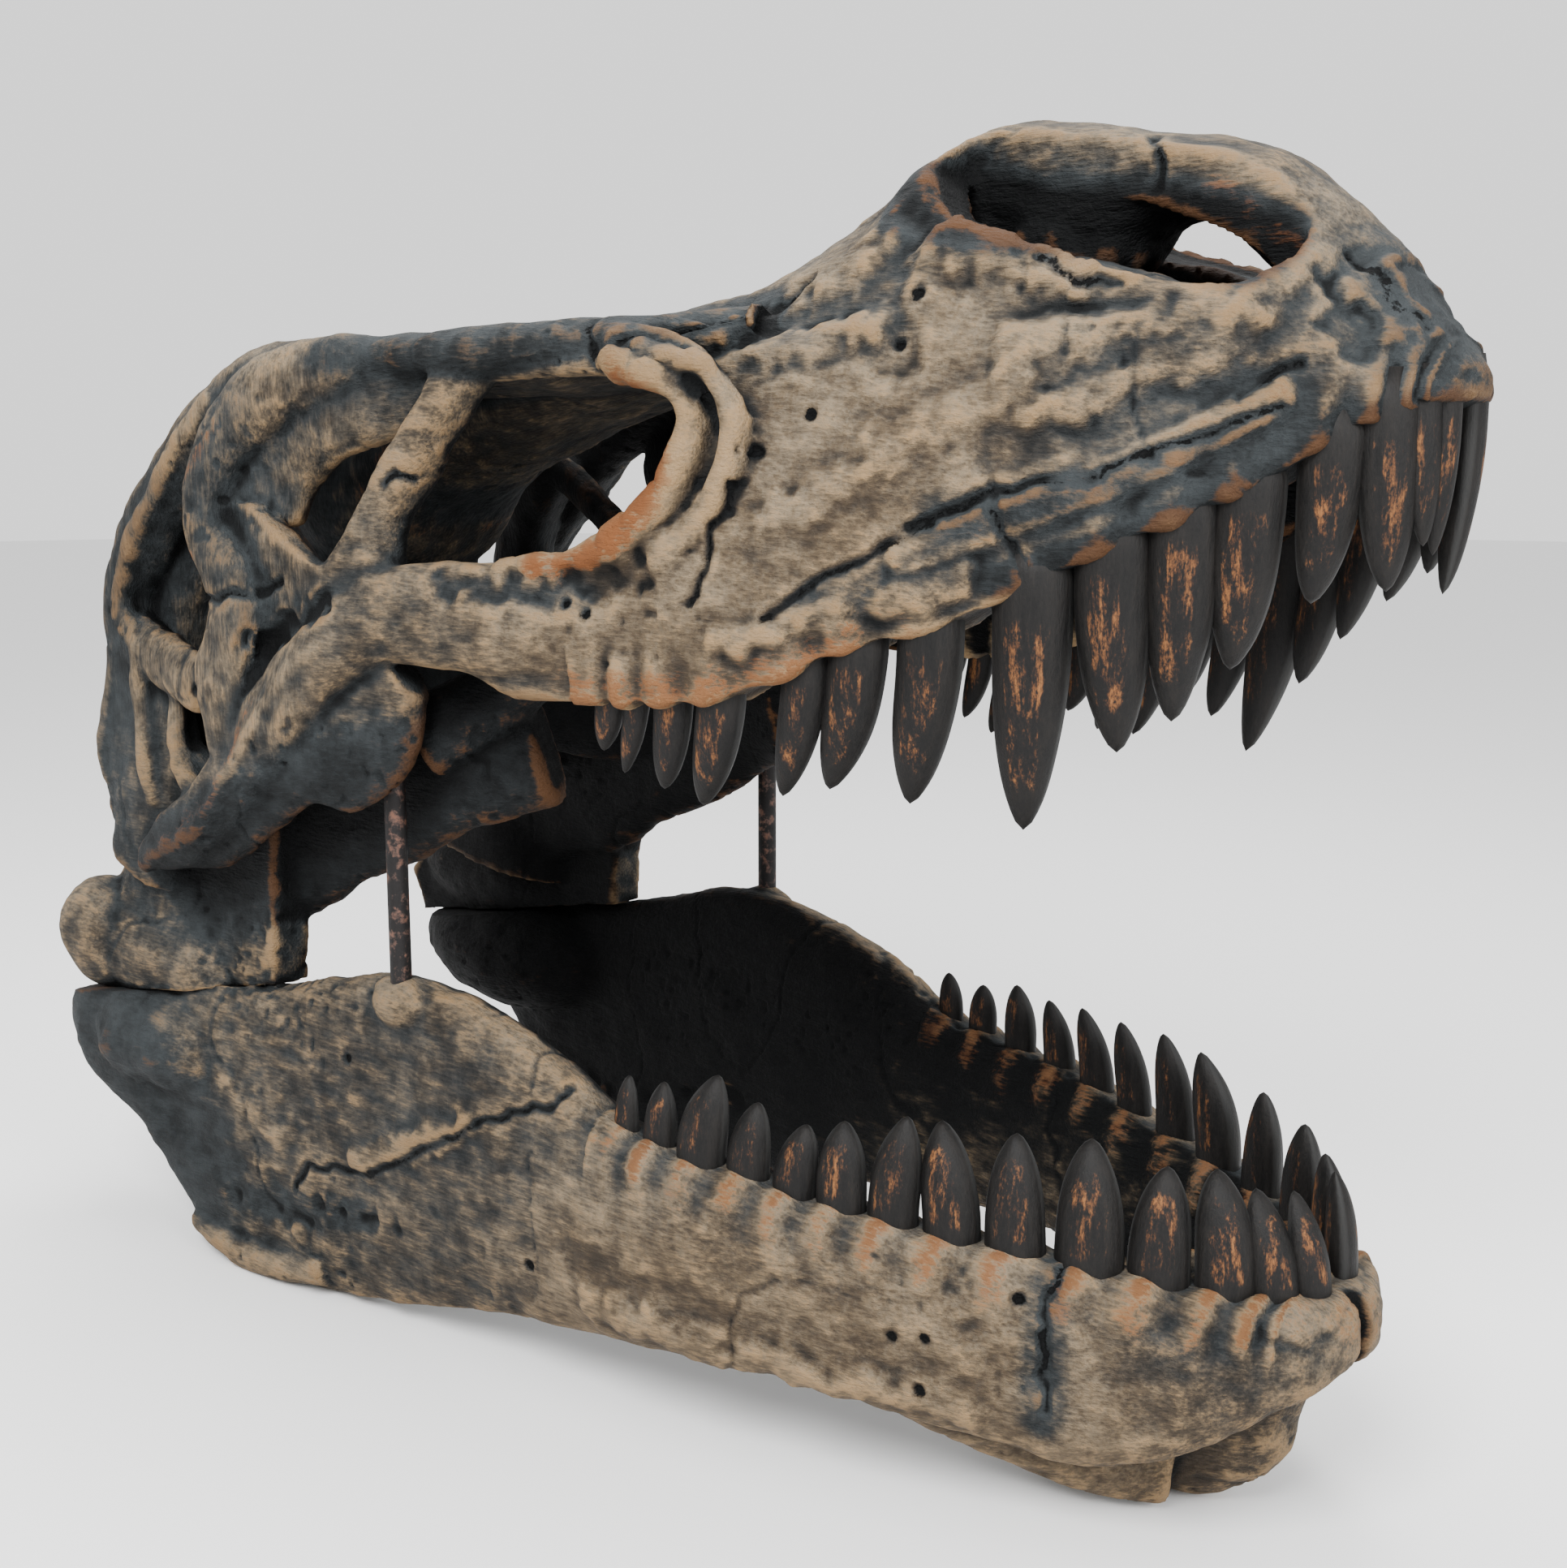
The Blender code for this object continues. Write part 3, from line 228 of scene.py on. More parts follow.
SIDE_BARS = {
    "jugal_bar": [
        (-0.35, 0.292, 0.414, 0.014, 0.012), (-0.29, 0.296, 0.442, 0.03, 0.018),
        (-0.22, 0.298, 0.478, 0.036, 0.022), (-0.16, 0.296, 0.53, 0.04, 0.024),
        (-0.1, 0.291, 0.59, 0.042, 0.024), (-0.04, 0.285, 0.645, 0.04, 0.024),
        (0.03, 0.276, 0.68, 0.042, 0.024), (0.1, 0.266, 0.686, 0.046, 0.024),
        (0.17, 0.256, 0.684, 0.048, 0.024), (0.25, 0.242, 0.684, 0.05, 0.024),
        (0.32, 0.224, 0.69, 0.048, 0.022), (0.39, 0.2, 0.7, 0.04, 0.016),
    ],
    "jugal_crest": [
        (-0.345, 0.302, 0.408, 0.01, 0.008), (-0.275, 0.31, 0.44, 0.01, 0.01),
        (-0.21, 0.316, 0.47, 0.011, 0.011), (-0.164, 0.315, 0.516, 0.012, 0.011),
        (-0.12, 0.31, 0.57, 0.012, 0.01), (-0.079, 0.305, 0.616, 0.013, 0.01),
        (-0.017, 0.298, 0.656, 0.013, 0.01), (0.045, 0.288, 0.674, 0.012, 0.008),
        (0.11, 0.276, 0.68, 0.01, 0.006),
    ],
    "jugal_flange": [
        (-0.3, 0.284, 0.425, 0.016, 0.014), (-0.22, 0.284, 0.452, 0.026, 0.017),
        (-0.15, 0.282, 0.5, 0.034, 0.017), (-0.095, 0.279, 0.545, 0.05, 0.018),
        (-0.045, 0.273, 0.566, 0.07, 0.018), (0.004, 0.267, 0.588, 0.062, 0.018),
        (0.044, 0.262, 0.632, 0.03, 0.018),
    ],
    "lacrimal_strut": [
        (0.098, 0.222, 0.905, 0.036, 0.022), (0.082, 0.242, 0.858, 0.022, 0.022),
        (0.046, 0.254, 0.803, 0.024, 0.022), (0.022, 0.261, 0.765, 0.029, 0.021),
        (0.006, 0.268, 0.722, 0.042, 0.02), (-0.03, 0.277, 0.68, 0.045, 0.018),
        (-0.075, 0.286, 0.632, 0.036, 0.016),
    ],
    "brow_ledge": [
        (-0.04, 0.205, 0.902, 0.02, 0.034), (0.04, 0.214, 0.903, 0.02, 0.04),
        (0.1, 0.218, 0.904, 0.023, 0.042), (0.17, 0.212, 0.907, 0.021, 0.04),
        (0.25, 0.202, 0.906, 0.022, 0.038), (0.32, 0.19, 0.91, 0.02, 0.034),
        (0.39, 0.174, 0.922, 0.016, 0.026),
    ],
    "antorbital_rim": [
        (0.12, 0.222, 0.886, 0.006, 0.006), (0.19, 0.228, 0.889, 0.01, 0.01),
        (0.245, 0.232, 0.89, 0.012, 0.012), (0.3, 0.238, 0.888, 0.011, 0.014),
        (0.342, 0.236, 0.88, 0.011, 0.015), (0.368, 0.233, 0.86, 0.011, 0.015),
        (0.371, 0.233, 0.834, 0.011, 0.015), (0.36, 0.236, 0.806, 0.011, 0.015),
        (0.338, 0.24, 0.78, 0.011, 0.014), (0.3, 0.246, 0.754, 0.011, 0.013),
        (0.24, 0.254, 0.735, 0.01, 0.01), (0.17, 0.262, 0.728, 0.006, 0.006),
    ],
    "fossa_rim": [
        (0.262, 0.228, 0.912, 0.01, 0.01), (0.318, 0.236, 0.908, 0.011, 0.012),
        (0.366, 0.235, 0.895, 0.012, 0.013), (0.398, 0.23, 0.868, 0.012, 0.013),
        (0.409, 0.228, 0.832, 0.012, 0.013), (0.394, 0.231, 0.792, 0.012, 0.012),
        (0.362, 0.238, 0.756, 0.012, 0.01), (0.31, 0.246, 0.722, 0.01, 0.007),
    ],
    "postorbital": [
        (-0.02, 0.206, 0.898, 0.022, 0.03), (-0.07, 0.232, 0.893, 0.03, 0.032),
        (-0.125, 0.262, 0.875, 0.034, 0.03), (-0.17, 0.284, 0.838, 0.031, 0.026),
        (-0.198, 0.293, 0.792, 0.028, 0.023), (-0.2, 0.297, 0.75, 0.026, 0.021),
        (-0.172, 0.298, 0.712, 0.03, 0.02), (-0.158, 0.299, 0.68, 0.033, 0.019),
        (-0.164, 0.3, 0.65, 0.036, 0.02), (-0.184, 0.3, 0.612, 0.038, 0.02),
        (-0.18, 0.3, 0.57, 0.032, 0.02), (-0.172, 0.299, 0.53, 0.032, 0.02),
    ],
    "squamosal": [
        (-0.07, 0.212, 0.896, 0.024, 0.03), (-0.15, 0.244, 0.886, 0.032, 0.034),
        (-0.225, 0.26, 0.848, 0.034, 0.032), (-0.29, 0.264, 0.802, 0.034, 0.028),
        (-0.35, 0.264, 0.748, 0.034, 0.026), (-0.398, 0.262, 0.694, 0.031, 0.024),
        (-0.408, 0.262, 0.65, 0.036, 0.024), (-0.392, 0.262, 0.605, 0.056, 0.024),
        (-0.386, 0.262, 0.555, 0.08, 0.024), (-0.382, 0.262, 0.505, 0.09, 0.026),
        (-0.38, 0.262, 0.455, 0.07, 0.03), (-0.404, 0.258, 0.395, 0.056, 0.034),
    ],
    "squamosal_flange": [
        (-0.41, 0.266, 0.64, 0.028, 0.018), (-0.35, 0.276, 0.622, 0.028, 0.017),
        (-0.29, 0.286, 0.61, 0.03, 0.016), (-0.225, 0.294, 0.602, 0.03, 0.016),
    ],
    "squamosal_crest": [
        (-0.2, 0.284, 0.87, 0.012, 0.012), (-0.262, 0.288, 0.816, 0.012, 0.014),
        (-0.322, 0.288, 0.756, 0.012, 0.013), (-0.372, 0.284, 0.704, 0.011, 0.012),
        (-0.388, 0.282, 0.66, 0.012, 0.012), (-0.352, 0.284, 0.625, 0.013, 0.012),
        (-0.362, 0.284, 0.575, 0.013, 0.012), (-0.352, 0.284, 0.52, 0.012, 0.012),
        (-0.345, 0.282, 0.47, 0.012, 0.011),
    ],
    "rear_crest": [
        (-0.4, 0.276, 0.7, 0.01, 0.01), (-0.42, 0.274, 0.65, 0.012, 0.011),
        (-0.418, 0.276, 0.6, 0.012, 0.012), (-0.44, 0.276, 0.545, 0.014, 0.012),
        (-0.45, 0.274, 0.5, 0.013, 0.012), (-0.42, 0.272, 0.45, 0.012, 0.012),
        (-0.405, 0.272, 0.405, 0.012, 0.01),
    ],
    "fenestra_lip": [
        (-0.3, 0.28, 0.58, 0.01, 0.01), (-0.296, 0.286, 0.545, 0.01, 0.011),
        (-0.28, 0.288, 0.512, 0.012, 0.012), (-0.25, 0.292, 0.488, 0.014, 0.012),
    ],
    "inner_strut": [
        (-0.31, 0.19, 0.81, 0.02, 0.018), (-0.26, 0.205, 0.782, 0.018, 0.016),
        (-0.215, 0.212, 0.744, 0.017, 0.015), (-0.17, 0.212, 0.706, 0.018, 0.016),
        (-0.12, 0.205, 0.68, 0.02, 0.018), (-0.06, 0.19, 0.67, 0.02, 0.018),
    ],
    "quadrate_shaft": [
        (-0.4, 0.215, 0.33, 0.12, 0.06), (-0.385, 0.216, 0.42, 0.062, 0.044),
        (-0.388, 0.218, 0.52, 0.04, 0.036), (-0.376, 0.218, 0.62, 0.03, 0.034),
        (-0.346, 0.214, 0.73, 0.03, 0.034), (-0.296, 0.205, 0.806, 0.036, 0.034),
    ],
    "pterygoid_wing": [
        (0.11, 0.16, 0.56, 0.05, 0.022), (0.02, 0.196, 0.53, 0.052, 0.022),
        (-0.06, 0.198, 0.498, 0.062, 0.024), (-0.14, 0.2, 0.47, 0.066, 0.024),
        (-0.21, 0.202, 0.442, 0.078, 0.026), (-0.3, 0.206, 0.43, 0.09, 0.03),
        (-0.375, 0.212, 0.4, 0.095, 0.038),
    ],
    "pterygoid_sheet": [
        (-0.25, 0.1, 0.6, 0.06, 0.03), (-0.29, 0.15, 0.55, 0.07, 0.026),
        (-0.33, 0.2, 0.48, 0.08, 0.024),
    ],
    "palatine_bar": [
        (-0.26, 0.09, 0.56, 0.055, 0.04), (-0.18, 0.15, 0.54, 0.06, 0.03),
        (-0.08, 0.205, 0.54, 0.06, 0.026),
    ],
    "ectopterygoid": [
        (0.02, 0.225, 0.57, 0.04, 0.024), (0.09, 0.19, 0.61, 0.03, 0.026),
        (0.17, 0.19, 0.66, 0.026, 0.03), (0.26, 0.195, 0.69, 0.024, 0.034),
    ],
}

# Thin sheets of bone between the bars: side-view outline, inner and outer face.
SHEETS = {
    "cheek_sheet": ([(-0.195, 0.775), (-0.145, 0.772), (-0.080, 0.735), (-0.020, 0.712),
                     (-0.085, 0.668), (-0.140, 0.600), (-0.200, 0.590)], 0.268, 0.290),
    "quadrate_sheet": ([(-0.440, 0.420), (-0.330, 0.430), (-0.240, 0.450), (-0.185, 0.480),
                        (-0.196, 0.420), (-0.206, 0.300), (-0.215, 0.255), (-0.560, 0.225),
                        (-0.580, 0.285), (-0.510, 0.350)], 0.205, 0.250),
    "quadratojugal": ([(-0.440, 0.400), (-0.465, 0.500), (-0.440, 0.600), (-0.310, 0.590),
                       (-0.292, 0.535), (-0.245, 0.510), (-0.215, 0.460), (-0.335, 0.405)],
                      0.256, 0.278),
}

# The wall behind the eye, between its outer edge and the edge of the deep socket.
SOCKET_OUTER = [(0.030, 0.225, 0.902), (-0.060, 0.238, 0.902), (-0.140, 0.270, 0.872),
                (-0.196, 0.288, 0.812), (-0.200, 0.290, 0.755)]
SOCKET_INNER = [(0.060, 0.205, 0.862), (0.000, 0.215, 0.832), (-0.065, 0.228, 0.818),
                (-0.112, 0.236, 0.788), (-0.122, 0.250, 0.752)]


def web(name, edge, far_edge, half_thickness, steps=5):
    """A curved sheet of bone between two edges."""
    rings = []
    ends = smooth_rows(edge, steps), smooth_rows(far_edge, steps)
    for near, far, heading in zip(*ends, np.gradient(ends[0], axis=0)):
        across = Vector(far - near) / 2
        thick = across.cross(Vector(heading)).normalized() * half_thickness
        rings.append(oval((near + far) / 2, across, thick, 0.6))
    return loft(name, rings)


def lump(name, middle, half_sizes, tilt=0.0):
    """An ellipsoid, tilted about Y."""
    shape = bmesh.new()
    bmesh.ops.create_uvsphere(shape, u_segments=32, v_segments=20, radius=1)
    turn = Matrix.Translation(middle) @ Matrix.Rotation(tilt, 4, "Y") @ Matrix.Diagonal((*half_sizes, 1))
    bmesh.ops.transform(shape, matrix=turn, verts=shape.verts)
    return drawn(name, shape)


side_shapes = [bar(name, stations) for name, stations in SIDE_BARS.items()]
side_shapes += [prism(name, outline, inner, outer)
                for name, (outline, inner, outer) in SHEETS.items()]
side_shapes += [
    web("socket_wall", SOCKET_OUTER, SOCKET_INNER, 0.014),
    lump("quadrate_foot", (-0.420, 0.234, 0.296), (0.150, 0.056, 0.064), 0.08),
    lump("quadrate_knob", (-0.498, 0.258, 0.306), (0.070, 0.046, 0.058), 0.45),
    lump("cheek_boss", (-0.180, 0.306, 0.602), (0.026, 0.018, 0.030)),
]

# ---------------------------------------------------------------- roof and braincase
# The flat roof has a window over each cheek; under it the braincase narrows forward,
# with the occipital knob and its wings behind.

roof = bar("roof", [
    (-0.32, 0, 0.85, 0.028, 0.16), (-0.26, 0, 0.872, 0.03, 0.205), (-0.19, 0, 0.886, 0.026, 0.22),
    (-0.09, 0, 0.892, 0.024, 0.212), (0.02, 0, 0.894, 0.024, 0.212),
    (0.12, 0, 0.896, 0.024, 0.205), (0.22, 0, 0.906, 0.024, 0.185), (0.32, 0, 0.925, 0.024, 0.15),
], power=0.6)
SUPRATEMPORAL = [(-0.275, 0.075), (-0.175, 0.060), (-0.110, 0.085), (-0.110, 0.150),
                 (-0.165, 0.190), (-0.250, 0.180)]
supratemporal = loft("supratemporal",
                     [[Vector((x, y, z)) for x, y in rounded(SUPRATEMPORAL)] for z in (0.8, 1.0)])
cut(roof, supratemporal)
cut(roof, other_side(supratemporal))

MIDDLE_BARS = {
    "nuchal_crest": [
        (-0.352, 0, 0.79, 0.046, 0.15), (-0.335, 0, 0.85, 0.03, 0.165),
        (-0.322, 0, 0.902, 0.02, 0.13),
    ],
    "brain_box": [
        (-0.385, 0, 0.76, 0.08, 0.1), (-0.31, 0, 0.78, 0.105, 0.13),
        (-0.22, 0, 0.825, 0.074, 0.11), (-0.12, 0, 0.85, 0.054, 0.095),
        (0.0, 0, 0.875, 0.034, 0.09), (0.13, 0, 0.892, 0.024, 0.08),
    ],
    "skull_floor": [
        (-0.335, 0, 0.78, 0.08, 0.115), (-0.33, 0, 0.68, 0.072, 0.105),
        (-0.31, 0, 0.59, 0.06, 0.1), (-0.27, 0, 0.53, 0.045, 0.11),
    ],
    "occipital_knob": [
        (-0.4, 0, 0.755, 0.036, 0.036), (-0.44, 0, 0.745, 0.026, 0.028),
    ],
}
middle_shapes = [bar(name, stations) for name, stations in MIDDLE_BARS.items()]
wing_of_occiput = bar("occipital_wing", [
    (-0.35, 0.06, 0.8, 0.03, 0.03), (-0.362, 0.16, 0.79, 0.03, 0.034),
    (-0.35, 0.24, 0.77, 0.034, 0.03),
])

# ---------------------------------------------------------------- one fossil surface
# Real bone has no seams between a bar and its neighbours, so the shapes of the cranium
# are fused into one skin, fine enough to carve. Everything that follows reads this
# skin's points, normals and neighbours.

GRAIN = 0.0034          # size of the fused skin's faces
COARSE = 0.012          # size of the faces that measure how sheltered a place is


def fused(name, things, size):
    """The shapes and their mirror images as one softened skin."""
    shape = bmesh.new()
    for thing in things + [other_side(thing) for thing in things]:
        shape.from_mesh(thing.data)
    skin = drawn(name, shape)
    grain = skin.modifiers.new("grain", "REMESH")
    grain.mode = "VOXEL"
    grain.voxel_size = size
    soften = skin.modifiers.new("soften", "SMOOTH")
    soften.iterations = 8
    return bake(skin)


class Surface:
    """The points of a skin, with their normals and neighbours, as arrays."""

    def __init__(self, skin):
        self.mesh = skin.data
        self.count = len(self.mesh.vertices)
        self.points = self.read(self.mesh.vertices, "co", 3)
        self.edges = self.read(self.mesh.edges, "vertices", 2, np.int32)
        self.degree = np.bincount(self.edges.ravel(), minlength=self.count)
        self.normals = self.read(self.mesh.vertex_normals, "vector", 3)

    def read(self, rows, name, width, kind=np.float32):
        values = np.empty(len(rows) * width, kind)
        rows.foreach_get(name, values)
        return values.reshape(-1, width).astype(int if kind is np.int32 else float)

    def spread(self, values, rounds):
        """The values blurred over the surface, as heat spreads."""
        a, b = self.edges.T
        for _ in range(rounds):
            columns = [np.bincount(a, column[b], self.count) + np.bincount(b, column[a], self.count)
                       for column in np.atleast_2d(values.T)]
            mean = np.array(columns).T.reshape(values.shape)
            degree = self.degree if values.ndim == 1 else self.degree[:, None]
            values = (values + mean / degree) / 2
        return values

    def lift(self, height):
        """Moves each point out along its normal by its height."""
        self.points = self.points + self.normals * height[:, None]
        self.mesh.vertices.foreach_set("co", self.points.astype(np.float32).ravel())
        self.mesh.update()
        self.normals = self.read(self.mesh.vertex_normals, "vector", 3)

    def paint(self, name, values):
        """Keeps a value at each point for the materials."""
        layer = self.mesh.attributes.new(name, "FLOAT", "POINT")
        layer.data.foreach_set("value", values.astype(np.float32))


# ---------------------------------------------------------------- the lower jaw
# Two rami meet in the chin. Each is an upright wall, with the articular lump under the
# joint and a keel along the lower edge that the whole skull rests on.


def wall(name, stations, power=0.7, steps=6):
    """An upright plate along its stations: x, out, low z, high z, half thickness."""
    rows = smooth_rows(stations, steps)
    along = np.gradient(rows[:, :2], axis=0)
    rings = []
    for (x, out, low, high, thick), (dx, dy) in zip(rows, along):
        aside = Vector((-dy, dx, 0)).normalized()
        middle = Vector((x, out, (low + high) / 2))
        rings.append(oval(middle, aside * thick, Vector((0, 0, (high - low) / 2)), power))
    return loft(name, rings)


ramus = wall("ramus", [
    (-0.54, 0.27, 0.19, 0.245, 0.018), (-0.498, 0.268, 0.15, 0.262, 0.032),
    (-0.424, 0.26, 0.108, 0.276, 0.034), (-0.36, 0.249, 0.034, 0.282, 0.034),
    (-0.29, 0.246, -0.004, 0.29, 0.034), (-0.2, 0.242, -0.004, 0.3, 0.034),
    (-0.11, 0.237, 0.004, 0.324, 0.032), (-0.02, 0.231, 0.018, 0.344, 0.032),
    (0.07, 0.228, 0.038, 0.338, 0.032), (0.16, 0.224, 0.056, 0.316, 0.032),
    (0.225, 0.222, 0.066, 0.29, 0.034), (0.27, 0.221, 0.072, 0.266, 0.035),
    (0.36, 0.212, 0.08, 0.256, 0.036), (0.45, 0.192, 0.084, 0.247, 0.036),
    (0.53, 0.168, 0.08, 0.239, 0.036), (0.61, 0.141, 0.071, 0.232, 0.036),
    (0.68, 0.112, 0.064, 0.225, 0.036), (0.735, 0.084, 0.086, 0.22, 0.036),
    (0.78, 0.052, 0.122, 0.215, 0.034), (0.8, 0.024, 0.14, 0.213, 0.032),
    (0.806, 0.0, 0.146, 0.212, 0.03),
])
chin = bar("chin", [
    (0.58, 0, 0.1, 0.04, 0.04), (0.63, 0, 0.092, 0.078, 0.05), (0.68, 0, 0.097, 0.097, 0.048),
    (0.73, 0, 0.142, 0.076, 0.046), (0.78, 0, 0.174, 0.044, 0.034),
], power=0.95)
chin_flank = bar("chin_flank", [
    (0.48, 0.172, 0.112, 0.03, 0.026), (0.56, 0.13, 0.088, 0.036, 0.034),
    (0.63, 0.076, 0.062, 0.044, 0.04), (0.69, 0.03, 0.054, 0.05, 0.034),
])
rod_boss = lump("rod_boss", (0, 0.244, 0.322), (0.040, 0.024, 0.026))
articular = lump("articular", (-0.395, 0.225, 0.215), (0.150, 0.085, 0.070), 0.08)
jaw_keel = bar("jaw_keel", [
    (-0.335, 0.247, 0.03, 0.02, 0.034), (-0.27, 0.245, 0.02, 0.022, 0.04),
    (-0.19, 0.242, 0.02, 0.022, 0.038), (-0.12, 0.238, 0.03, 0.02, 0.034),
])

# The crease where the quadrates stand on the jaw, seen from the side.
CREASE_REAR = (-0.60, 0.228)
CREASE_FRONT = (-0.200, 0.300)
CUT = 0.0005

cranium_shapes = side_shapes + [wing_of_occiput, snout, nasal_bar, palate, roof, *middle_shapes]
jaw_shapes = [ramus, chin, chin_flank, rod_boss, articular, jaw_keel]


def trimmed(skin, outline, rise):
    return cut(skin, prism("trim", [(x, z + rise) for x, z in outline], -0.5, 0.5))


def cranium_of(size):
    under = [CREASE_REAR, CREASE_FRONT, (-0.10, CREASE_FRONT[1]), (-0.10, 0), (-0.60, 0)]
    return trimmed(fused("cranium", cranium_shapes, size), under, CUT)


def jaw_of(size):
    over = [CREASE_REAR, CREASE_FRONT, (CREASE_FRONT[0], 0.60), (-0.60, 0.60)]
    return trimmed(fused("jaw", jaw_shapes, size), over, -CUT)


cranium = Surface(cranium_of(GRAIN))
jaw = Surface(jaw_of(GRAIN))

# ---------------------------------------------------------------- teeth
# A crown is a hooked cone with a sharp edge before and behind. The two sides shed and
# grow their teeth apart, so each has its own row: x of the root, bare length, width,
# and how far the tip lies forward.

TEETH = {
    "maxilla_right": [
        (0.276, 0.050, 0.027, -0.014), (0.303, 0.068, 0.024, -0.022),
        (0.339, 0.080, 0.034, -0.018), (0.385, 0.095, 0.040, -0.028),
        (0.457, 0.106, 0.036, -0.030), (0.498, 0.116, 0.044, -0.034),
        (0.551, 0.140, 0.048, -0.024), (0.622, 0.186, 0.056, -0.010),
        (0.675, 0.150, 0.052, 0.004), (0.720, 0.148, 0.048, -0.008),
        (0.760, 0.130, 0.046, -0.012),
    ],
    "premaxilla_right": [
        (0.808, 0.112, 0.042, -0.012), (0.836, 0.120, 0.040, 0.008),
        (0.853, 0.098, 0.026, 0.010), (0.862, 0.108, 0.022, 0.002),
    ],
    "maxilla_left": [
        (0.262, 0.050, 0.026, -0.010), (0.297, 0.071, 0.030, -0.015),
        (0.340, 0.085, 0.036, -0.020), (0.388, 0.080, 0.036, -0.020),
        (0.434, 0.072, 0.036, -0.015), (0.484, 0.105, 0.042, -0.020),
        (0.534, 0.120, 0.044, -0.020), (0.580, 0.100, 0.040, -0.015),
        (0.626, 0.131, 0.046, -0.015), (0.674, 0.178, 0.052, -0.015),
        (0.722, 0.140, 0.046, -0.012), (0.762, 0.122, 0.042, -0.012),
    ],
    "premaxilla_left": [
        (0.808, 0.118, 0.040, -0.012), (0.835, 0.112, 0.038, 0.000),
        (0.857, 0.135, 0.034, 0.004),
    ],
    "dentary_right": [
        (0.272, 0.046, 0.024, 0.000), (0.308, 0.052, 0.031, 0.002),
        (0.352, 0.074, 0.044, 0.014), (0.396, 0.062, 0.036, 0.008),
        (0.438, 0.056, 0.036, 0.010), (0.478, 0.067, 0.040, 0.000),
        (0.520, 0.084, 0.040, 0.010), (0.566, 0.086, 0.044, -0.014),
        (0.614, 0.090, 0.045, -0.003), (0.666, 0.098, 0.050, -0.002),
        (0.713, 0.088, 0.044, 0.004), (0.755, 0.090, 0.044, -0.010),
        (0.783, 0.078, 0.036, -0.016), (0.800, 0.076, 0.030, -0.014),
    ],
    "dentary_left": [
        (0.275, 0.046, 0.026, 0.000), (0.317, 0.048, 0.030, 0.004),
        (0.367, 0.064, 0.034, 0.000), (0.421, 0.066, 0.034, -0.008),
        (0.472, 0.076, 0.036, -0.012), (0.522, 0.082, 0.036, -0.010),
        (0.576, 0.092, 0.040, -0.008), (0.630, 0.096, 0.044, -0.012),
        (0.684, 0.088, 0.040, 0.006), (0.733, 0.084, 0.042, 0.008),
        (0.774, 0.080, 0.038, 0.000), (0.798, 0.082, 0.032, 0.000),
    ],
}
ROOT = 0.030            # length of a tooth inside its bone
FLATNESS = 0.78         # a crown's thickness across the jaw over its width along it
UPPER_ROW = [(0.25, 0.238, 0.632), (0.30, 0.232, 0.633), (0.38, 0.221, 0.640),
             (0.44, 0.208, 0.658), (0.49, 0.193, 0.681), (0.58, 0.162, 0.711),
             (0.66, 0.132, 0.754), (0.73, 0.104, 0.788), (0.78, 0.082, 0.814),
             (0.82, 0.062, 0.842), (0.85, 0.038, 0.859), (0.868, 0.010, 0.865)]
LOWER_ROW = [(0.20, 0.222, 0.262), (0.27, 0.221, 0.262), (0.36, 0.212, 0.252),
             (0.45, 0.192, 0.243), (0.53, 0.168, 0.235), (0.61, 0.141, 0.228),
             (0.68, 0.112, 0.221), (0.735, 0.084, 0.216), (0.780, 0.052, 0.211),
             (0.800, 0.024, 0.209), (0.81, 0.008, 0.208)]


def row_place(row, x, side):
    """Where the tooth row is at this x, and the direction out of the jaw there."""
    xs, outs, heights = zip(*row)
    turn = (np.interp(x - 0.01, xs, outs) - np.interp(x + 0.01, xs, outs)) / 0.02
    root = Vector((x, side * np.interp(x, xs, outs), np.interp(x, xs, heights)))
    return root, Vector((turn, side, 0)).normalized()


def noise(points, per_metre, seed=0):
    """Smooth random heights from -1 to 1, with so many lumps per metre along each axis."""
    place = points * np.array(per_metre, float)
    corner = np.floor(place).astype(np.int64)
    t = place - corner
    t = t * t * (3 - 2 * t)
    total = np.zeros(len(points))
    for step in np.ndindex(2, 2, 2):
        at = corner + np.array(step)
        mixed = at[:, 0] * 73856093 ^ at[:, 1] * 19349663 ^ at[:, 2] * 83492791 ^ seed * 49979687
        mixed = (mixed ^ (mixed >> 13)) * 1274126177 & 0x7fffffff
        height = (mixed ^ (mixed >> 15)) % 65536 / 32767.5 - 1
        weight = np.prod(np.where(step, t, 1 - t), axis=1)
        total += height * weight
    return total


CROWN_SIDES = 24
CROWN_RINGS = 18


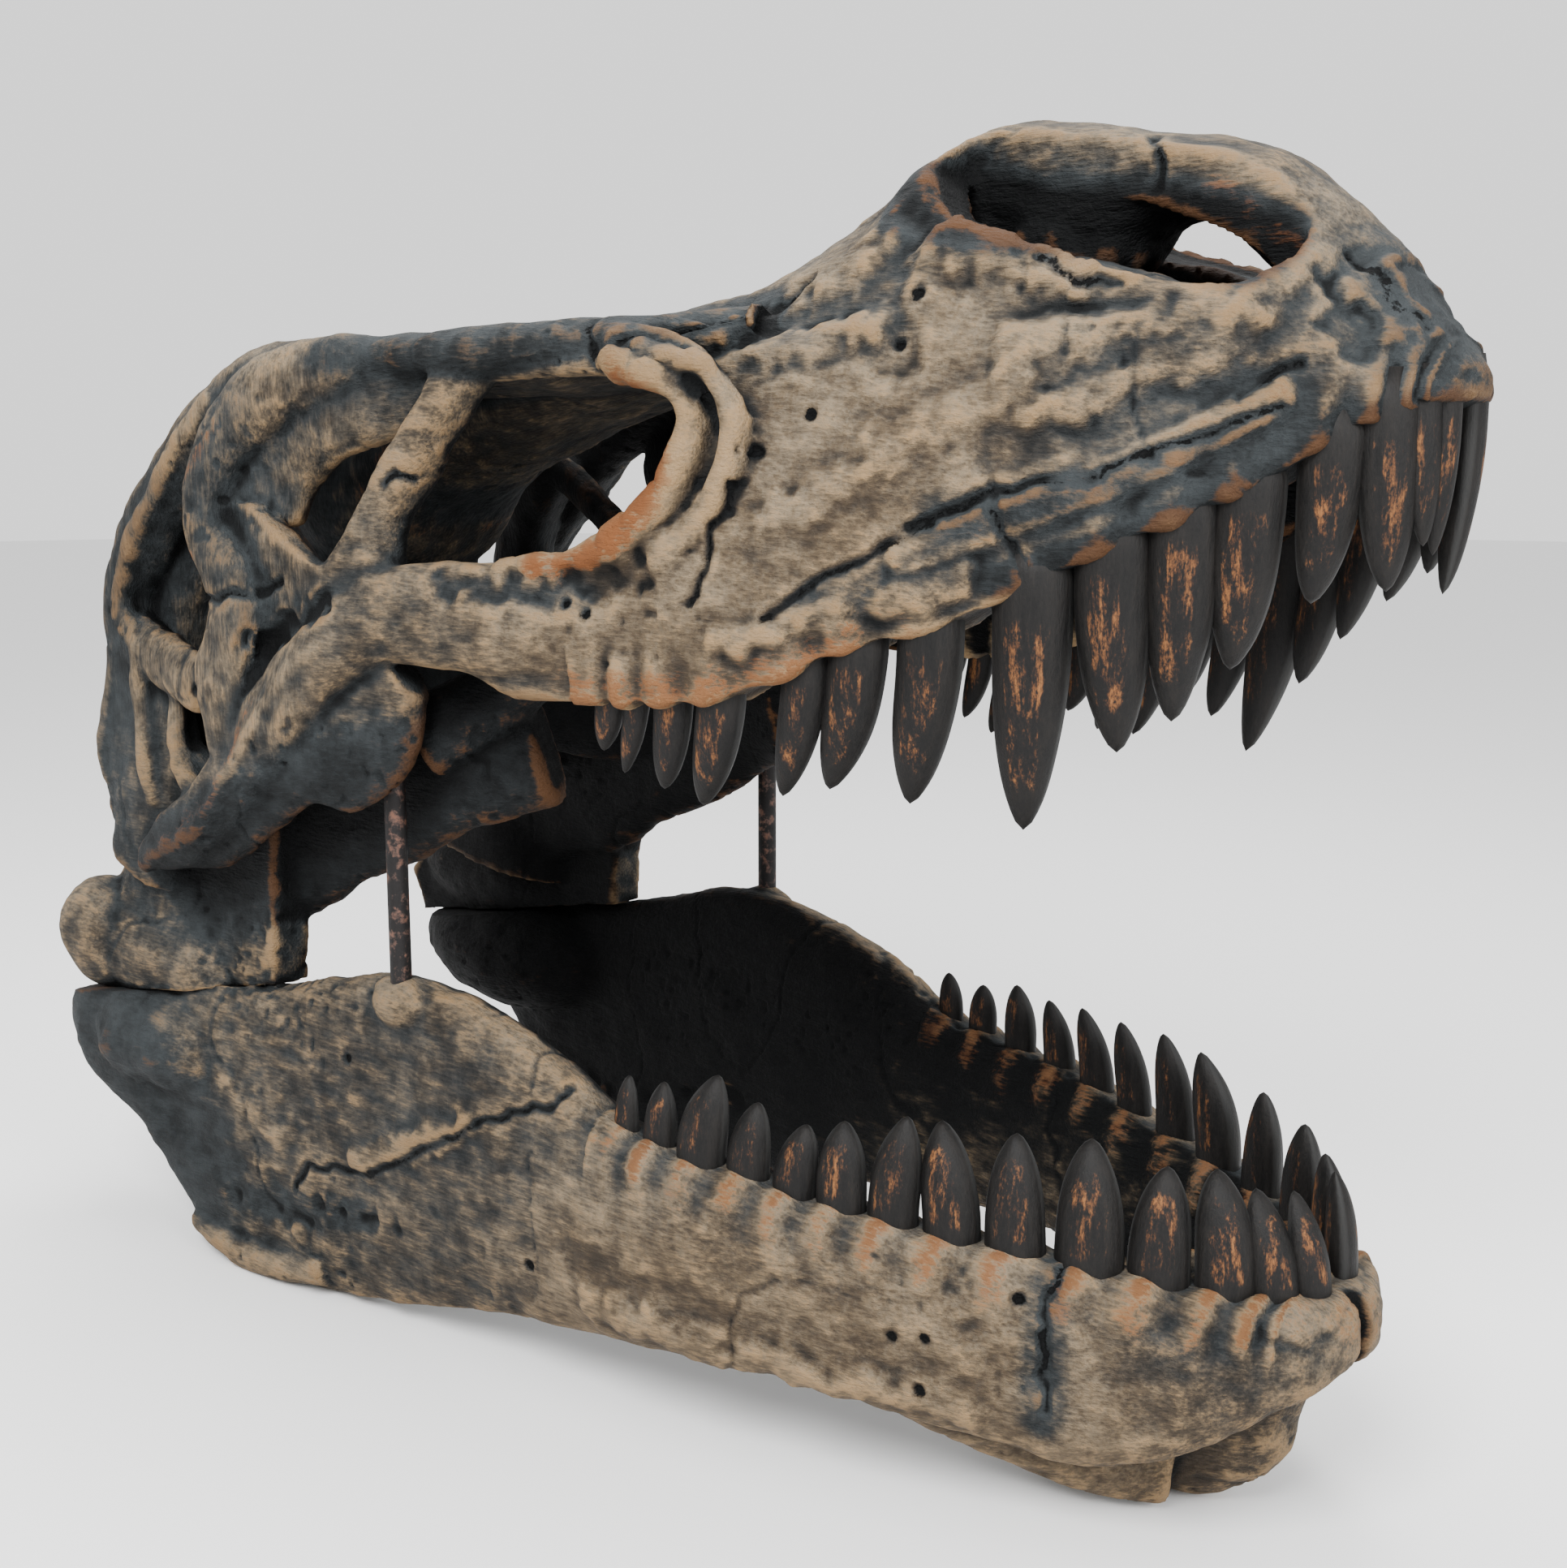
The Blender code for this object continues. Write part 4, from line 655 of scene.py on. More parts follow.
def crown(shape, layers, root, aside, down, length, width, lean):
    """Adds one tooth to the shape, with its place along and round the crown painted on."""
    ahead = Vector((aside.y, -aside.x, 0))
    along_layer, edge_layer = layers
    start = len(shape.verts)
    deep = min(ROOT, 0.9 * width)
    for t in [-deep / length, -0.04, *np.linspace(0.03, 1, CROWN_RINGS) ** 0.8]:
        bare = max(t, 0)
        taper = max(1 - bare ** 3.0, 0.0) ** 0.75 * (0.7 if t < -0.05 else 1)
        reach = down * length * min(t, 0.98 + (t - 0.98) * 0.5)
        middle = root + Vector((lean * bare ** 1.6, 0, reach)) - aside * (0.10 * length * bare ** 2)
        for k in range(CROWN_SIDES):
            c, s = cos(2 * pi * k / CROWN_SIDES), sin(2 * pi * k / CROWN_SIDES)
            keel = 1 + 0.07 * abs(c) ** 12
            point = (middle + ahead * (width / 2 * taper * c * keel)
                     + aside * (width / 2 * FLATNESS * taper * s))
            vertex = shape.verts.new(point)
            vertex[along_layer] = bare
            vertex[edge_layer] = abs(c)
    shape.verts.ensure_lookup_table()
    verts = shape.verts[start:]
    for ring in range(CROWN_RINGS + 1):
        for k in range(CROWN_SIDES):
            j = (k + 1) % CROWN_SIDES
            low, high = ring * CROWN_SIDES, (ring + 1) * CROWN_SIDES
            corners = (verts[low + k], verts[low + j], verts[high + j], verts[high + k])
            shape.faces.new(corners)
    shape.faces.new(verts[:CROWN_SIDES])
    shape.faces.new(verts[-CROWN_SIDES:])


def tooth_row(bone, row, down):
    """All the teeth of one bone as one piece."""
    side = 1 if bone.endswith("left") else -1
    shape = bmesh.new()
    layers = (shape.verts.layers.float.new("along"), shape.verts.layers.float.new("edge"))
    for x, length, width, lean in TEETH[bone]:
        root, aside = row_place(row, x, side)
        crown(shape, layers, root, aside, down, length, width, lean)
    bmesh.ops.recalc_face_normals(shape, faces=shape.faces)
    piece = drawn(bone + "_teeth", shape)
    surface = Surface(piece)
    worn = surface.read(piece.data.attributes["along"].data, "value", 1)[:, 0]
    ripple = noise(surface.points, (30, 30, 18), 5) * 0.0011
    surface.lift(ripple * np.clip(worn * 4, 0, 1) * np.clip((1 - worn) * 6, 0.2, 1))
    return piece


teeth = [tooth_row("maxilla_right", UPPER_ROW, -1), tooth_row("maxilla_left", UPPER_ROW, -1),
         tooth_row("premaxilla_right", UPPER_ROW, -1), tooth_row("premaxilla_left", UPPER_ROW, -1),
         tooth_row("dentary_right", LOWER_ROW, 1), tooth_row("dentary_left", LOWER_ROW, 1)]

# ---------------------------------------------------------------- carving the bone
# Millions of years in rock leave the bone lumpy, fibrous and pitted, with cracks and
# open sutures. Each kind of mark but the sutures is a height over the skin, and their sum is lifted.


def line_gap(points, line):
    """Distance of each point, in side view, from a line of (x, z)."""
    line = np.array(line, float)
    best = np.full(len(points), 9.0)
    flat = points[:, (0, 2)]
    for start, end in zip(line, line[1:]):
        along = end - start
        t = np.clip((flat - start) @ along / (along @ along), 0, 1)
        best = np.minimum(best, np.linalg.norm(flat - start - t[:, None] * along, axis=1))
    return best


def line_near(points, line, width):
    """1 on a side-view line, falling to 0 at this distance from it."""
    return np.clip(1 - line_gap(points, line) / width, 0, 1)


def ramp(values, low, high):
    """0 below low, 1 above high, and smooth between."""
    t = np.clip((values - low) / (high - low), 0, 1)
    return t * t * (3 - 2 * t)


# Cracks seen from the side, as lines of (x, z).
CRANIUM_CRACKS = [
    [(0.040, 0.792), (0.058, 0.800), (0.072, 0.798), (0.105, 0.812)],
    [(-0.215, 0.690), (-0.166, 0.685), (-0.131, 0.695), (-0.100, 0.704)],
    [(0.252, 0.930), (0.257, 0.917), (0.267, 0.901), (0.276, 0.880)],
    [(0.412, 0.800), (0.402, 0.783), (0.392, 0.762), (0.386, 0.737), (0.374, 0.712)],
    [(0.600, 0.800), (0.609, 0.784), (0.615, 0.764), (0.633, 0.742), (0.637, 0.731)],
    [(0.545, 0.774), (0.595, 0.794), (0.639, 0.803), (0.676, 0.811), (0.712, 0.830),
     (0.746, 0.841), (0.785, 0.853)],
    [(0.759, 0.861), (0.773, 0.873), (0.792, 0.882)],
    [(0.610, 0.956), (0.626, 0.951), (0.645, 0.942), (0.668, 0.940)],
    [(0.636, 1.060), (0.639, 1.049), (0.653, 1.027), (0.650, 1.010)],
    [(0.300, 0.905), (0.337, 0.918), (0.379, 0.930), (0.418, 0.954)],
    [(0.800, 0.960), (0.831, 0.917), (0.850, 0.905)],
    [(0.440, 0.700), (0.475, 0.730), (0.520, 0.750), (0.560, 0.775)],
]
JAW_CRACKS = [
    [(0.224, 0.300), (0.205, 0.272), (0.129, 0.243), (0.085, 0.218), (0.040, 0.192),
     (-0.020, 0.160), (-0.064, 0.146), (-0.130, 0.138), (-0.150, 0.110)],
    [(0.653, 0.236), (0.655, 0.200), (0.660, 0.160), (0.656, 0.120)],
]
CRANIUM_HOLES = [(0.253, 0.704), (0.273, 0.697), (0.517, 0.903), (0.461, 0.851),
                 (0.421, 0.824), (0.526, 0.937)]
JAW_HOLES = [(0.178, 0.121), (0.544, 0.155), (0.569, 0.159), (0.565, 0.116),
             (0.635, 0.202), (-0.067, 0.258)]
HOLLOWS = [(-0.238, 0.073), (-0.191, 0.073), (-0.147, 0.071), (-0.095, 0.102),
           (-0.051, 0.109), (-0.009, 0.116)]

# Broad ridges and troughs of the flank: height, half width, line of (x, z).
CRANIUM_STROKES = [
    (-0.009, 0.034, [(0.340, 0.915), (0.419, 0.919), (0.484, 0.944), (0.507, 0.985)]),
    (0.007, 0.022, [(0.300, 0.895), (0.382, 0.892), (0.442, 0.905), (0.490, 0.918)]),
    (0.009, 0.026, [(0.532, 0.975), (0.580, 0.962), (0.630, 0.950)]),
    (-0.007, 0.030, [(0.508, 0.915), (0.520, 0.890)]),
    (-0.003, 0.024, [(0.560, 0.934), (0.640, 0.925), (0.700, 0.925)]),
    (0.005, 0.026, [(0.440, 0.775), (0.500, 0.805), (0.555, 0.845), (0.609, 0.873)]),
    (0.006, 0.026, [(0.606, 0.895), (0.686, 0.911), (0.746, 0.920)]),
    (-0.003, 0.024, [(0.600, 0.822), (0.660, 0.835), (0.715, 0.852), (0.770, 0.872)]),
    (0.005, 0.022, [(0.631, 0.850), (0.694, 0.874), (0.740, 0.896), (0.780, 0.940)]),
    (0.006, 0.018, [(0.400, 0.683), (0.440, 0.690)]),
    (0.006, 0.018, [(0.475, 0.699), (0.500, 0.712)]),
    (0.006, 0.018, [(0.535, 0.722), (0.582, 0.738)]),
    (-0.006, 0.022, [(0.120, 0.715), (0.240, 0.712), (0.330, 0.728)]),
    (-0.008, 0.018, [(-0.130, 0.640), (-0.075, 0.668), (-0.030, 0.690)]),
    (0.005, 0.014, [(0.815, 0.942), (0.845, 0.898)]),
    (-0.005, 0.014, [(0.795, 0.940), (0.830, 0.890)]),
]
JAW_STROKES = [
    (0.006, 0.040, [(-0.420, 0.200), (-0.300, 0.190), (-0.180, 0.170)]),
    (-0.004, 0.034, [(-0.360, 0.130), (-0.250, 0.100), (-0.130, 0.085)]),
    (-0.003, 0.030, [(0.240, 0.150), (0.400, 0.140), (0.560, 0.140)]),
    (0.005, 0.024, [(0.260, 0.110), (0.420, 0.105), (0.600, 0.105)]),
    (0.006, 0.022, [(0.100, 0.232), (0.040, 0.200), (-0.050, 0.160)]),
]


def marks(surface, cracks, holes, strokes):
    """Height of the lumps, fibres, pits, cracks and holes at each point of a skin."""
    points = surface.points
    wander = np.stack([noise(points, 55, seed) + noise(points, 130, seed + 20) * 0.4
                       for seed in (11, 12, 13)], axis=1)
    ragged = points + wander * 0.005
    outward = ramp(surface.normals[:, 1] * np.sign(points[:, 1]), 0.0, 0.3)
    height = noise(points, 16, 1) * 0.0034 + noise(points, 40, 2) * 0.0017
    upright = ramp(-points[:, 0], 0.0, 0.1) * ramp(points[:, 2], 0.5, 0.6)
    surface.paint("upright", upright)
    long = noise(ragged, (20, 95, 95), 3) + 0.6 * noise(ragged, (34, 170, 170), 4)
    tall = noise(ragged, (95, 95, 20), 5) + 0.6 * noise(ragged, (170, 170, 34), 6)
    height += (long + (tall - long) * upright) * 0.0009
    pitted = ramp(noise(points, 9, 7), 0.1, 0.5)
    height -= ramp(noise(points, 120, 8), 0.35, 0.75) * pitted * 0.0022
    veins = np.clip(1 - np.abs(noise(ragged, 8, 9)) / 0.03, 0, 1)
    height -= veins * ramp(noise(points, 5, 10), 0.0, 0.35) * 0.0018
    for rise, width, line in strokes:
        height += ramp(line_near(ragged + wander * 0.004, line, width), 0.0, 0.9) * outward * rise
    crack = np.minimum.reduce([line_gap(ragged, line) for line in cracks]) + 1 - outward
    height -= (1 - ramp(crack, 0.0, 0.007)) * 0.0045
    hole = np.minimum.reduce([np.linalg.norm(points[:, (0, 2)] - np.array(at), axis=1)
                              for at in holes]) + 1 - outward
    height -= (1 - ramp(hole, 0.0, 0.008)) * 0.006
    surface.paint("crack", np.minimum(np.minimum(crack, hole - 0.003), 0.05))
    return height


def scallops(surface, rows, reach):
    """1 over each tooth and -1 between two, fading out away from the tooth margin."""
    points = surface.points
    height = np.zeros(surface.count)
    for bone_row, side, row, down in rows:
        xs = [x for x, *_ in bone_row]
        phase = np.interp(points[:, 0], xs, range(len(xs)))
        margin = np.interp(points[:, 0], [r[0] for r in row], [r[2] for r in row])
        above = (margin - points[:, 2]) * down
        inside = (points[:, 1] * side > 0) & (points[:, 0] > xs[0] - 0.02) & (points[:, 0] < xs[-1])
        fade = ramp(above, -0.03, 0.0) * (1 - ramp(above, 0.2 * reach, reach))
        height += np.cos(2 * pi * phase) * fade * inside
    return height


def whole_row(side):
    return TEETH["maxilla" + side] + TEETH["premaxilla" + side]


upper_scallops = scallops(cranium, [(whole_row("_right"), -1, UPPER_ROW, -1),
                                    (whole_row("_left"), 1, UPPER_ROW, -1)], 0.055)
lower_scallops = scallops(jaw, [(TEETH["dentary_right"], -1, LOWER_ROW, 1),
                                (TEETH["dentary_left"], 1, LOWER_ROW, 1)], 0.055)

# The lip band: a raised strip of maxilla above the smooth collar that the teeth leave.
LIP_BAND = [(0.545, 0.752), (0.624, 0.783), (0.688, 0.809), (0.737, 0.835), (0.779, 0.861)]
outward = cranium.normals[:, 1] * np.sign(cranium.points[:, 1])
lip = ramp(line_near(cranium.points, LIP_BAND, 0.020), 0.1, 0.5) * ramp(outward, 0.2, 0.5)
RIM = rounded(ANTORBITAL)[10:30]
rim = line_near(cranium.points, RIM, 0.030) * ramp(outward, 0.0, 0.4)

cranium.lift(marks(cranium, CRANIUM_CRACKS, CRANIUM_HOLES, CRANIUM_STROKES)
             + upper_scallops * 0.0034 + lip * 0.0055 + ramp(rim, 0.0, 0.8) * 0.004)
hollows = sum(line_near(jaw.points, [(x - 0.01, z), (x + 0.01, z)], 0.020) for x, z in HOLLOWS)
jaw.lift(marks(jaw, JAW_CRACKS, JAW_HOLES, JAW_STROKES) + lower_scallops * 0.0030
         - np.clip(hollows, 0, 1) * ramp(noise(jaw.points, 60, 21), -0.3, 0.5) * 0.007)

# ---------------------------------------------------------------- what the finish reads
# Sheltered and inward-facing places get painted shade, and handling wears the edges warm.
# Shelter is measured with rays on a coarse copy, and ridges against a blurred surface.

REACH = 0.16            # how far away bone still shelters a place
RAYS = 40
FINE_RIDGE = 0.0009     # heights over the blurred surface that count as a ridge
BROAD_RIDGE = 0.004


def shelter_of(surface, coarse, tree):
    """0 in the open, 1 where every ray soon meets bone, at each point of the surface."""
    step = pi * (3 - 5 ** 0.5)
    rays = [Vector((cos(k * step) * (1 - h * h) ** 0.5, sin(k * step) * (1 - h * h) ** 0.5, h))
            for k, h in enumerate(np.linspace(-0.98, 0.98, RAYS))]
    found = KDTree(len(coarse.points))
    shelter = np.zeros(coarse.count)
    for i, (point, normal) in enumerate(zip(coarse.points, coarse.normals)):
        point, normal = Vector(point), Vector(normal)
        found.insert(point, i)
        start = point + normal * 0.006
        met = total = 0.0
        for ray in rays:
            weight = ray.dot(normal)
            if weight < 0.15:
                continue
            total += weight
            distance = tree.ray_cast(start, ray, REACH)[3]
            if distance is not None:
                met += weight * (1 - 0.5 * distance / REACH)
        shelter[i] = met / total
    found.balance()
    return surface.spread(np.array([shelter[found.find(point)[1]] for point in surface.points]), 6)


def finished(surface, coarse, tree):
    """Paints on a skin what the bone's finish reads: shelter and inward facing for the painted shade,
    and ridges.
    """
    surface.paint("shelter", shelter_of(surface, coarse, tree))
    fine = surface.points - surface.spread(surface.points, 10)
    broad = surface.points - surface.spread(surface.points, 60)
    ridge = ((fine * surface.normals).sum(axis=1) / FINE_RIDGE
             + (broad * surface.normals).sum(axis=1) / BROAD_RIDGE)
    surface.paint("ridge", surface.spread(ridge, 1))
    inward = -surface.normals[:, 1] * np.sign(surface.points[:, 1])
    surface.paint("inward", surface.spread(ramp(inward, -0.1, 0.5), 2))


coarse_cranium = Surface(cranium_of(COARSE))
coarse_jaw = Surface(jaw_of(COARSE))
both = bmesh.new()
both.from_mesh(coarse_cranium.mesh)
both.from_mesh(coarse_jaw.mesh)
tree = BVHTree.FromBMesh(both)
both.free()
finished(cranium, coarse_cranium, tree)
finished(jaw, coarse_jaw, tree)

# Painted shade on the outer side too, darker on the lower, rear and inner parts: strength, half width,
# line of (x, z).
CRANIUM_SHADE_STROKES = [
    (1.50, 0.115, [(-0.300, 0.400), (-0.150, 0.450), (-0.050, 0.500), (0.060, 0.530),
                   (0.200, 0.560)]),
    (1.80, 0.048, [(0.490, 1.010), (0.560, 0.992), (0.660, 0.985), (0.750, 0.962)]),
    (1.00, 0.036, [(0.570, 0.775), (0.680, 0.800), (0.800, 0.845)]),
    (0.85, 0.110, [(-0.300, 0.760), (-0.400, 0.690), (-0.410, 0.600), (-0.420, 0.500),
                   (-0.410, 0.400)]),
    (0.85, 0.075, [(-0.160, 0.860), (-0.190, 0.780), (-0.150, 0.710), (-0.120, 0.660)]),
    (0.85, 0.045, [(-0.100, 0.665), (-0.030, 0.690)]),
    (0.55, 0.060, [(0.370, 0.905), (0.440, 0.915), (0.500, 0.930), (0.510, 0.990)]),
    (0.60, 0.030, [(0.120, 0.712), (0.260, 0.705)]),
    (1.00, 0.090, [(0.840, 0.960), (0.885, 0.860)]),
    (0.65, 0.050, [(0.765, 0.865), (0.800, 0.880), (0.800, 0.950)]),
    (0.55, 0.035, [(0.475, 0.715), (0.540, 0.735), (0.590, 0.745)]),
    (0.60, 0.030, [(0.690, 0.856), (0.740, 0.870)]),
    (1.50, 0.022, [(0.610, 0.735), (0.660, 0.750), (0.730, 0.784), (0.780, 0.810),
                   (0.820, 0.838), (0.866, 0.859)]),
    (1.00, 0.044, [(-0.060, 0.905), (0.100, 0.905), (0.250, 0.912), (0.380, 0.925)]),
    (0.60, 0.070, [(-0.420, 0.300), (-0.250, 0.340), (-0.200, 0.400)]),
]
# The jaw's painted shade, in the same columns.
JAW_SHADE_STROKES = [
    (1.20, 0.170, [(-0.520, 0.200), (-0.400, 0.180), (-0.330, 0.120)]),
    (0.55, 0.100, [(-0.250, 0.240), (-0.100, 0.200), (0.000, 0.250)]),
    (0.90, 0.030, [(0.655, 0.240), (0.658, 0.170), (0.655, 0.110)]),
    (0.55, 0.050, [(0.730, 0.180), (0.780, 0.180)]),
    (0.95, 0.040, [(-0.240, 0.075), (-0.050, 0.105)]),
]
RUSTY_RIDGES = [
    [(-0.170, 0.838), (-0.205, 0.805), (-0.230, 0.776), (-0.224, 0.747), (-0.204, 0.724)],
    [(-0.280, 0.445), (-0.176, 0.503), (-0.122, 0.596)],
    [(-0.396, 0.740), (-0.432, 0.696), (-0.445, 0.642)],
    [(0.700, 1.010), (0.770, 0.960)],
]
# The pale lines: painted light on the front flank of the skull and of the jaw.
CRANIUM_LIT_LINES = [(0.300, 0.690), (0.420, 0.760), (0.500, 0.870)]
JAW_LIT_LINES = [(0.300, 0.080), (0.620, 0.100)]


def regions(surface, row, strokes, pale):
    """Paints the painted shade, lifted into painted light near the pale lines, and gives the distance of
    each point from the tooth margin.
    """
    # The painted shade is 0.54 everywhere and fades near the pale lines.
    painted_shade = 0.54 - 0.48 * ramp(line_near(surface.points, pale, 0.20), 0.0, 0.8)
    for strength, width, line in strokes:
        near = ramp(line_near(surface.points, line, width), 0.0, 0.8) * strength
        painted_shade = np.maximum(painted_shade, near)
    # Inside the skull, between the cheeks and under the roof, the painted shade is deepest.
    out, (x, _, z) = np.abs(surface.points[:, 1]), surface.points.T
    within = (out < 0.245) & (z < 0.66) & (z > 0.36) & (x > -0.30) & (x < 0.28)
    surface.paint("painted_shade", surface.spread(np.where(within, 1.6, painted_shade), 4))
    xs, _, heights = zip(*row)
    return np.abs(surface.points[:, 2] - np.interp(surface.points[:, 0], xs, heights))


along_skull = cranium.points[:, 0]
lip_edge = 1 - ramp(regions(cranium, UPPER_ROW, CRANIUM_SHADE_STROKES, CRANIUM_LIT_LINES), 0.01, 0.035)
lip_edge *= ramp(along_skull, 0.20, 0.26) * (1 - ramp(along_skull, 0.50, 0.60))
ridges = sum(line_near(cranium.points, line, 0.020) for line in RUSTY_RIDGES)
rusty = ramp(rim, 0.3, 0.9) + lip_edge * 0.8 + lip * 0.3 + ridges * 0.8
cranium.paint("rust", np.clip(rusty * ramp(outward, -0.2, 0.3), 0, 1))
gum = 1 - ramp(regions(jaw, LOWER_ROW, JAW_SHADE_STROKES, JAW_LIT_LINES), 0.020, 0.060)
gum *= ramp(jaw.points[:, 0], 0.20, 0.30)
jaw.paint("rust", np.clip(gum * (0.45 + 0.35 * lower_scallops), 0, 1))

# ---------------------------------------------------------------- fossil bone finish
# Dark mineralised bone under a dusty film: brown and tan where it is handled, rust-orange
# on rims and round the teeth, and painted shade, blue-grey to black, in recesses and creases.


class Link:
    """A socket of a material's tree. Sums of links add their own Math nodes."""

    def __init__(self, tree, socket):
        self.tree = tree
        self.socket = socket

    def node(self, kind, settings=(), sockets=(), out=0):
        """A node of this kind: its settings first, then the values or links of its sockets."""
        made = self.tree.nodes.new("ShaderNode" + kind)
        for name, value in dict(settings).items():
            setattr(made, name, value)
        for name, value in dict(sockets).items():
            if isinstance(value, Link):
                self.tree.links.new(value.socket, made.inputs[name])
            else:
                made.inputs[name].default_value = value
        return Link(self.tree, made.outputs[out])

    def sum(self, operation, *others):
        return self.node("Math", {"operation": operation}, enumerate((self, *others)))

    def __add__(self, other):
        return self.sum("ADD", other)

    def __sub__(self, other):
        return self.sum("SUBTRACT", other)

    def __mul__(self, other):
        return self.sum("MULTIPLY", other)

    def __rsub__(self, other):
        return self.node("Math", {"operation": "SUBTRACT"}, {0: other, 1: self})

    __radd__ = __add__
    __rmul__ = __mul__

    def between(self, low, high):
        """0 below low, 1 above high, and smooth between."""
        sockets = {"Value": self, "From Min": low, "From Max": high}
        return self.node("MapRange", {"interpolation_type": "SMOOTHSTEP"}, sockets)

    def tint(self, low, high):
        """One colour where this is 0, and another where it is 1."""
        colours = [value if isinstance(value, Link) else (*value, 1) for value in (low, high)]
        return self.node("Mix", {"data_type": "RGBA"}, {0: self, 6: colours[0], 7: colours[1]}, 2)


def new_finish(name):
    """A material, its shader, and a link to start its expressions from."""
    finish = bpy.data.materials.new(name)
    finish.use_nodes = True
    shader = finish.node_tree.nodes["Principled BSDF"]
    start = Link(finish.node_tree, None)
    place = start.node("TexCoord", out=3)
    return finish, shader, place


def feed(shader, socket, link):
    link.tree.links.new(link.socket, shader.inputs[socket])


def painted(link, name):
    return link.node("Attribute", {"attribute_name": name}, out=2)


def speckle(place, scale, detail=4.0, roughness=0.6, stretch=(1, 1, 1)):
    """Cloudy noise from 0 to 1, with so many lumps per metre."""
    stretched = place.node("VectorMath", {"operation": "MULTIPLY"}, {0: place, 1: stretch})
    return place.node("TexNoise", (), {"Vector": stretched, "Scale": scale, "Detail": detail,
                                       "Roughness": roughness})


# BLACK, CHARCOAL, SLATE and HAZE are the colours of the painted shade; BLACK also marks the cracks.
BLACK = (0.0016, 0.0018, 0.0020)
CHARCOAL = (0.0075, 0.0085, 0.0090)
SLATE = (0.0160, 0.0188, 0.0202)
HAZE = (0.0350, 0.0405, 0.0432)
UMBER = (0.036, 0.0255, 0.0165)
TAN = (0.172, 0.126, 0.076)
OCHRE = (0.250, 0.155, 0.072)
RUST = (0.135, 0.050, 0.018)
DUST = (0.165, 0.160, 0.140)
CREST = (0.060, 0.027, 0.011)
ENAMEL = (0.0030, 0.0029, 0.0029)
WORN_ENAMEL = (0.0092, 0.0080, 0.0072)
STAIN = (0.045, 0.013, 0.005)
PALE_STAIN = (0.160, 0.066, 0.022)
KEEL_GREY = (0.026, 0.0265, 0.026)
PAINT = (0.012, 0.011, 0.011)
ROD_RUST = (0.090, 0.031, 0.013)

bone_finish, shader, place = new_finish("fossil_bone_surface")
# Shelter, inward facing and the painted shade attribute below drive the painted shade.
shelter = painted(place, "shelter")
ridge = painted(place, "ridge")
upright = painted(place, "upright")
rust = painted(place, "rust")
inward = painted(place, "inward")
painted_shade = painted(place, "painted_shade")
crack = painted(place, "crack")
upward = place.node("NewGeometry", out=1)
upward = upward.node("SeparateXYZ", (), {0: upward}, 2)
patches = speckle(place, 9, 5, 0.6)
mottle = speckle(place, 42, 6, 0.65)
fine = speckle(place, 210, 5, 0.7)
long_fibre = speckle(place, 60, 4, 0.6, (1, 6, 6))
tall_fibre = speckle(place, 60, 4, 0.6, (6, 6, 1))
fibre = upright.node("Mix", {"data_type": "FLOAT"}, {0: upright, 2: long_fibre, 3: tall_fibre})

# The upward term paints upward faces a lighter tan: painted light from above.
warmth = patches * 0.9 + mottle * 0.6 + fibre * 0.5 + ridge * 0.16 + upward * 0.16
skin_colour = warmth.between(0.70, 1.50).tint(UMBER, TAN)
polished = (mottle + fibre + ridge * 0.2).between(1.10, 1.55)
skin_colour = (polished * 0.6).tint(skin_colour, OCHRE)
film = (fine + patches).between(0.85, 1.25) * (0.30 + upward * 0.5)
skin_colour = (film * 0.45).tint(skin_colour, DUST)
pores = (fibre * 0.8 + fine * 0.7 + mottle * 0.5 + ridge * 0.10).between(1.15, 0.70)
skin_colour = (pores * 0.6).tint(skin_colour, UMBER)

# Painted shade: sheltered, inward-facing and shaded places turn blue-grey, and black where the shade is
# deepest.
texture = (0.5 - mottle) * 0.55 + (0.5 - fibre) * 0.50 + (0.5 - patches) * 0.35
painted_shade_amount = shelter * 1.1 + painted_shade + inward * 0.55 - ridge * 0.20 + texture
dusty = (patches + mottle * 0.8 + upward * 0.25 + fine * 0.3).between(0.80, 1.50)
painted_shade_colour = (mottle + fibre).between(0.80, 1.25).tint(CHARCOAL, SLATE)
painted_shade_colour = (dusty * 0.7).tint(painted_shade_colour, HAZE)
darkest = (shelter + inward * 0.7 + painted_shade * 0.4 - ridge * 0.05).between(0.36, 0.85)
painted_shade_colour = darkest.tint(painted_shade_colour, BLACK)
dark = painted_shade_amount.between(0.05, 0.85)
skin_colour = dark.tint(skin_colour, painted_shade_colour)

worn = (rust * 0.9 + (fibre + mottle - 1.0) * 2.0 + ridge * 0.12).between(0.55, 1.10)
skin_colour = (worn * rust * (1 - dark * 0.5)).tint(skin_colour, RUST)
# Orange-brown crests on the ridges, only within the painted shade.
crest = (ridge * 0.5 + (mottle + fibre - 1.0) * 1.4).between(0.60, 1.30) * (1 - shelter)
skin_colour = (crest * painted_shade * 0.55).tint(skin_colour, CREST)
# Painted shade in the creases: black along the hollows of the skin.
creased = (ridge * -1).between(0.6, 2.4)
skin_colour = (creased * 0.85).tint(skin_colour, BLACK)
gap = 1 - (crack + (mottle - 0.5) * 0.013 + (fine - 0.5) * 0.006).between(0.0, 0.0012)
skin_colour = gap.tint(skin_colour, BLACK)
feed(shader, "Base Color", skin_colour)
feed(shader, "Roughness", (0.52 + fine * 0.35).sum("MINIMUM", 0.95))
relief = fibre * 0.8 + fine * 0.5 + mottle * 0.7 - gap * 0.8
bump = place.node("Bump", (), {"Strength": 0.85, "Distance": 0.005, "Height": relief})
feed(shader, "Normal", bump)
shader.inputs["Specular IOR Level"].default_value = 0.10

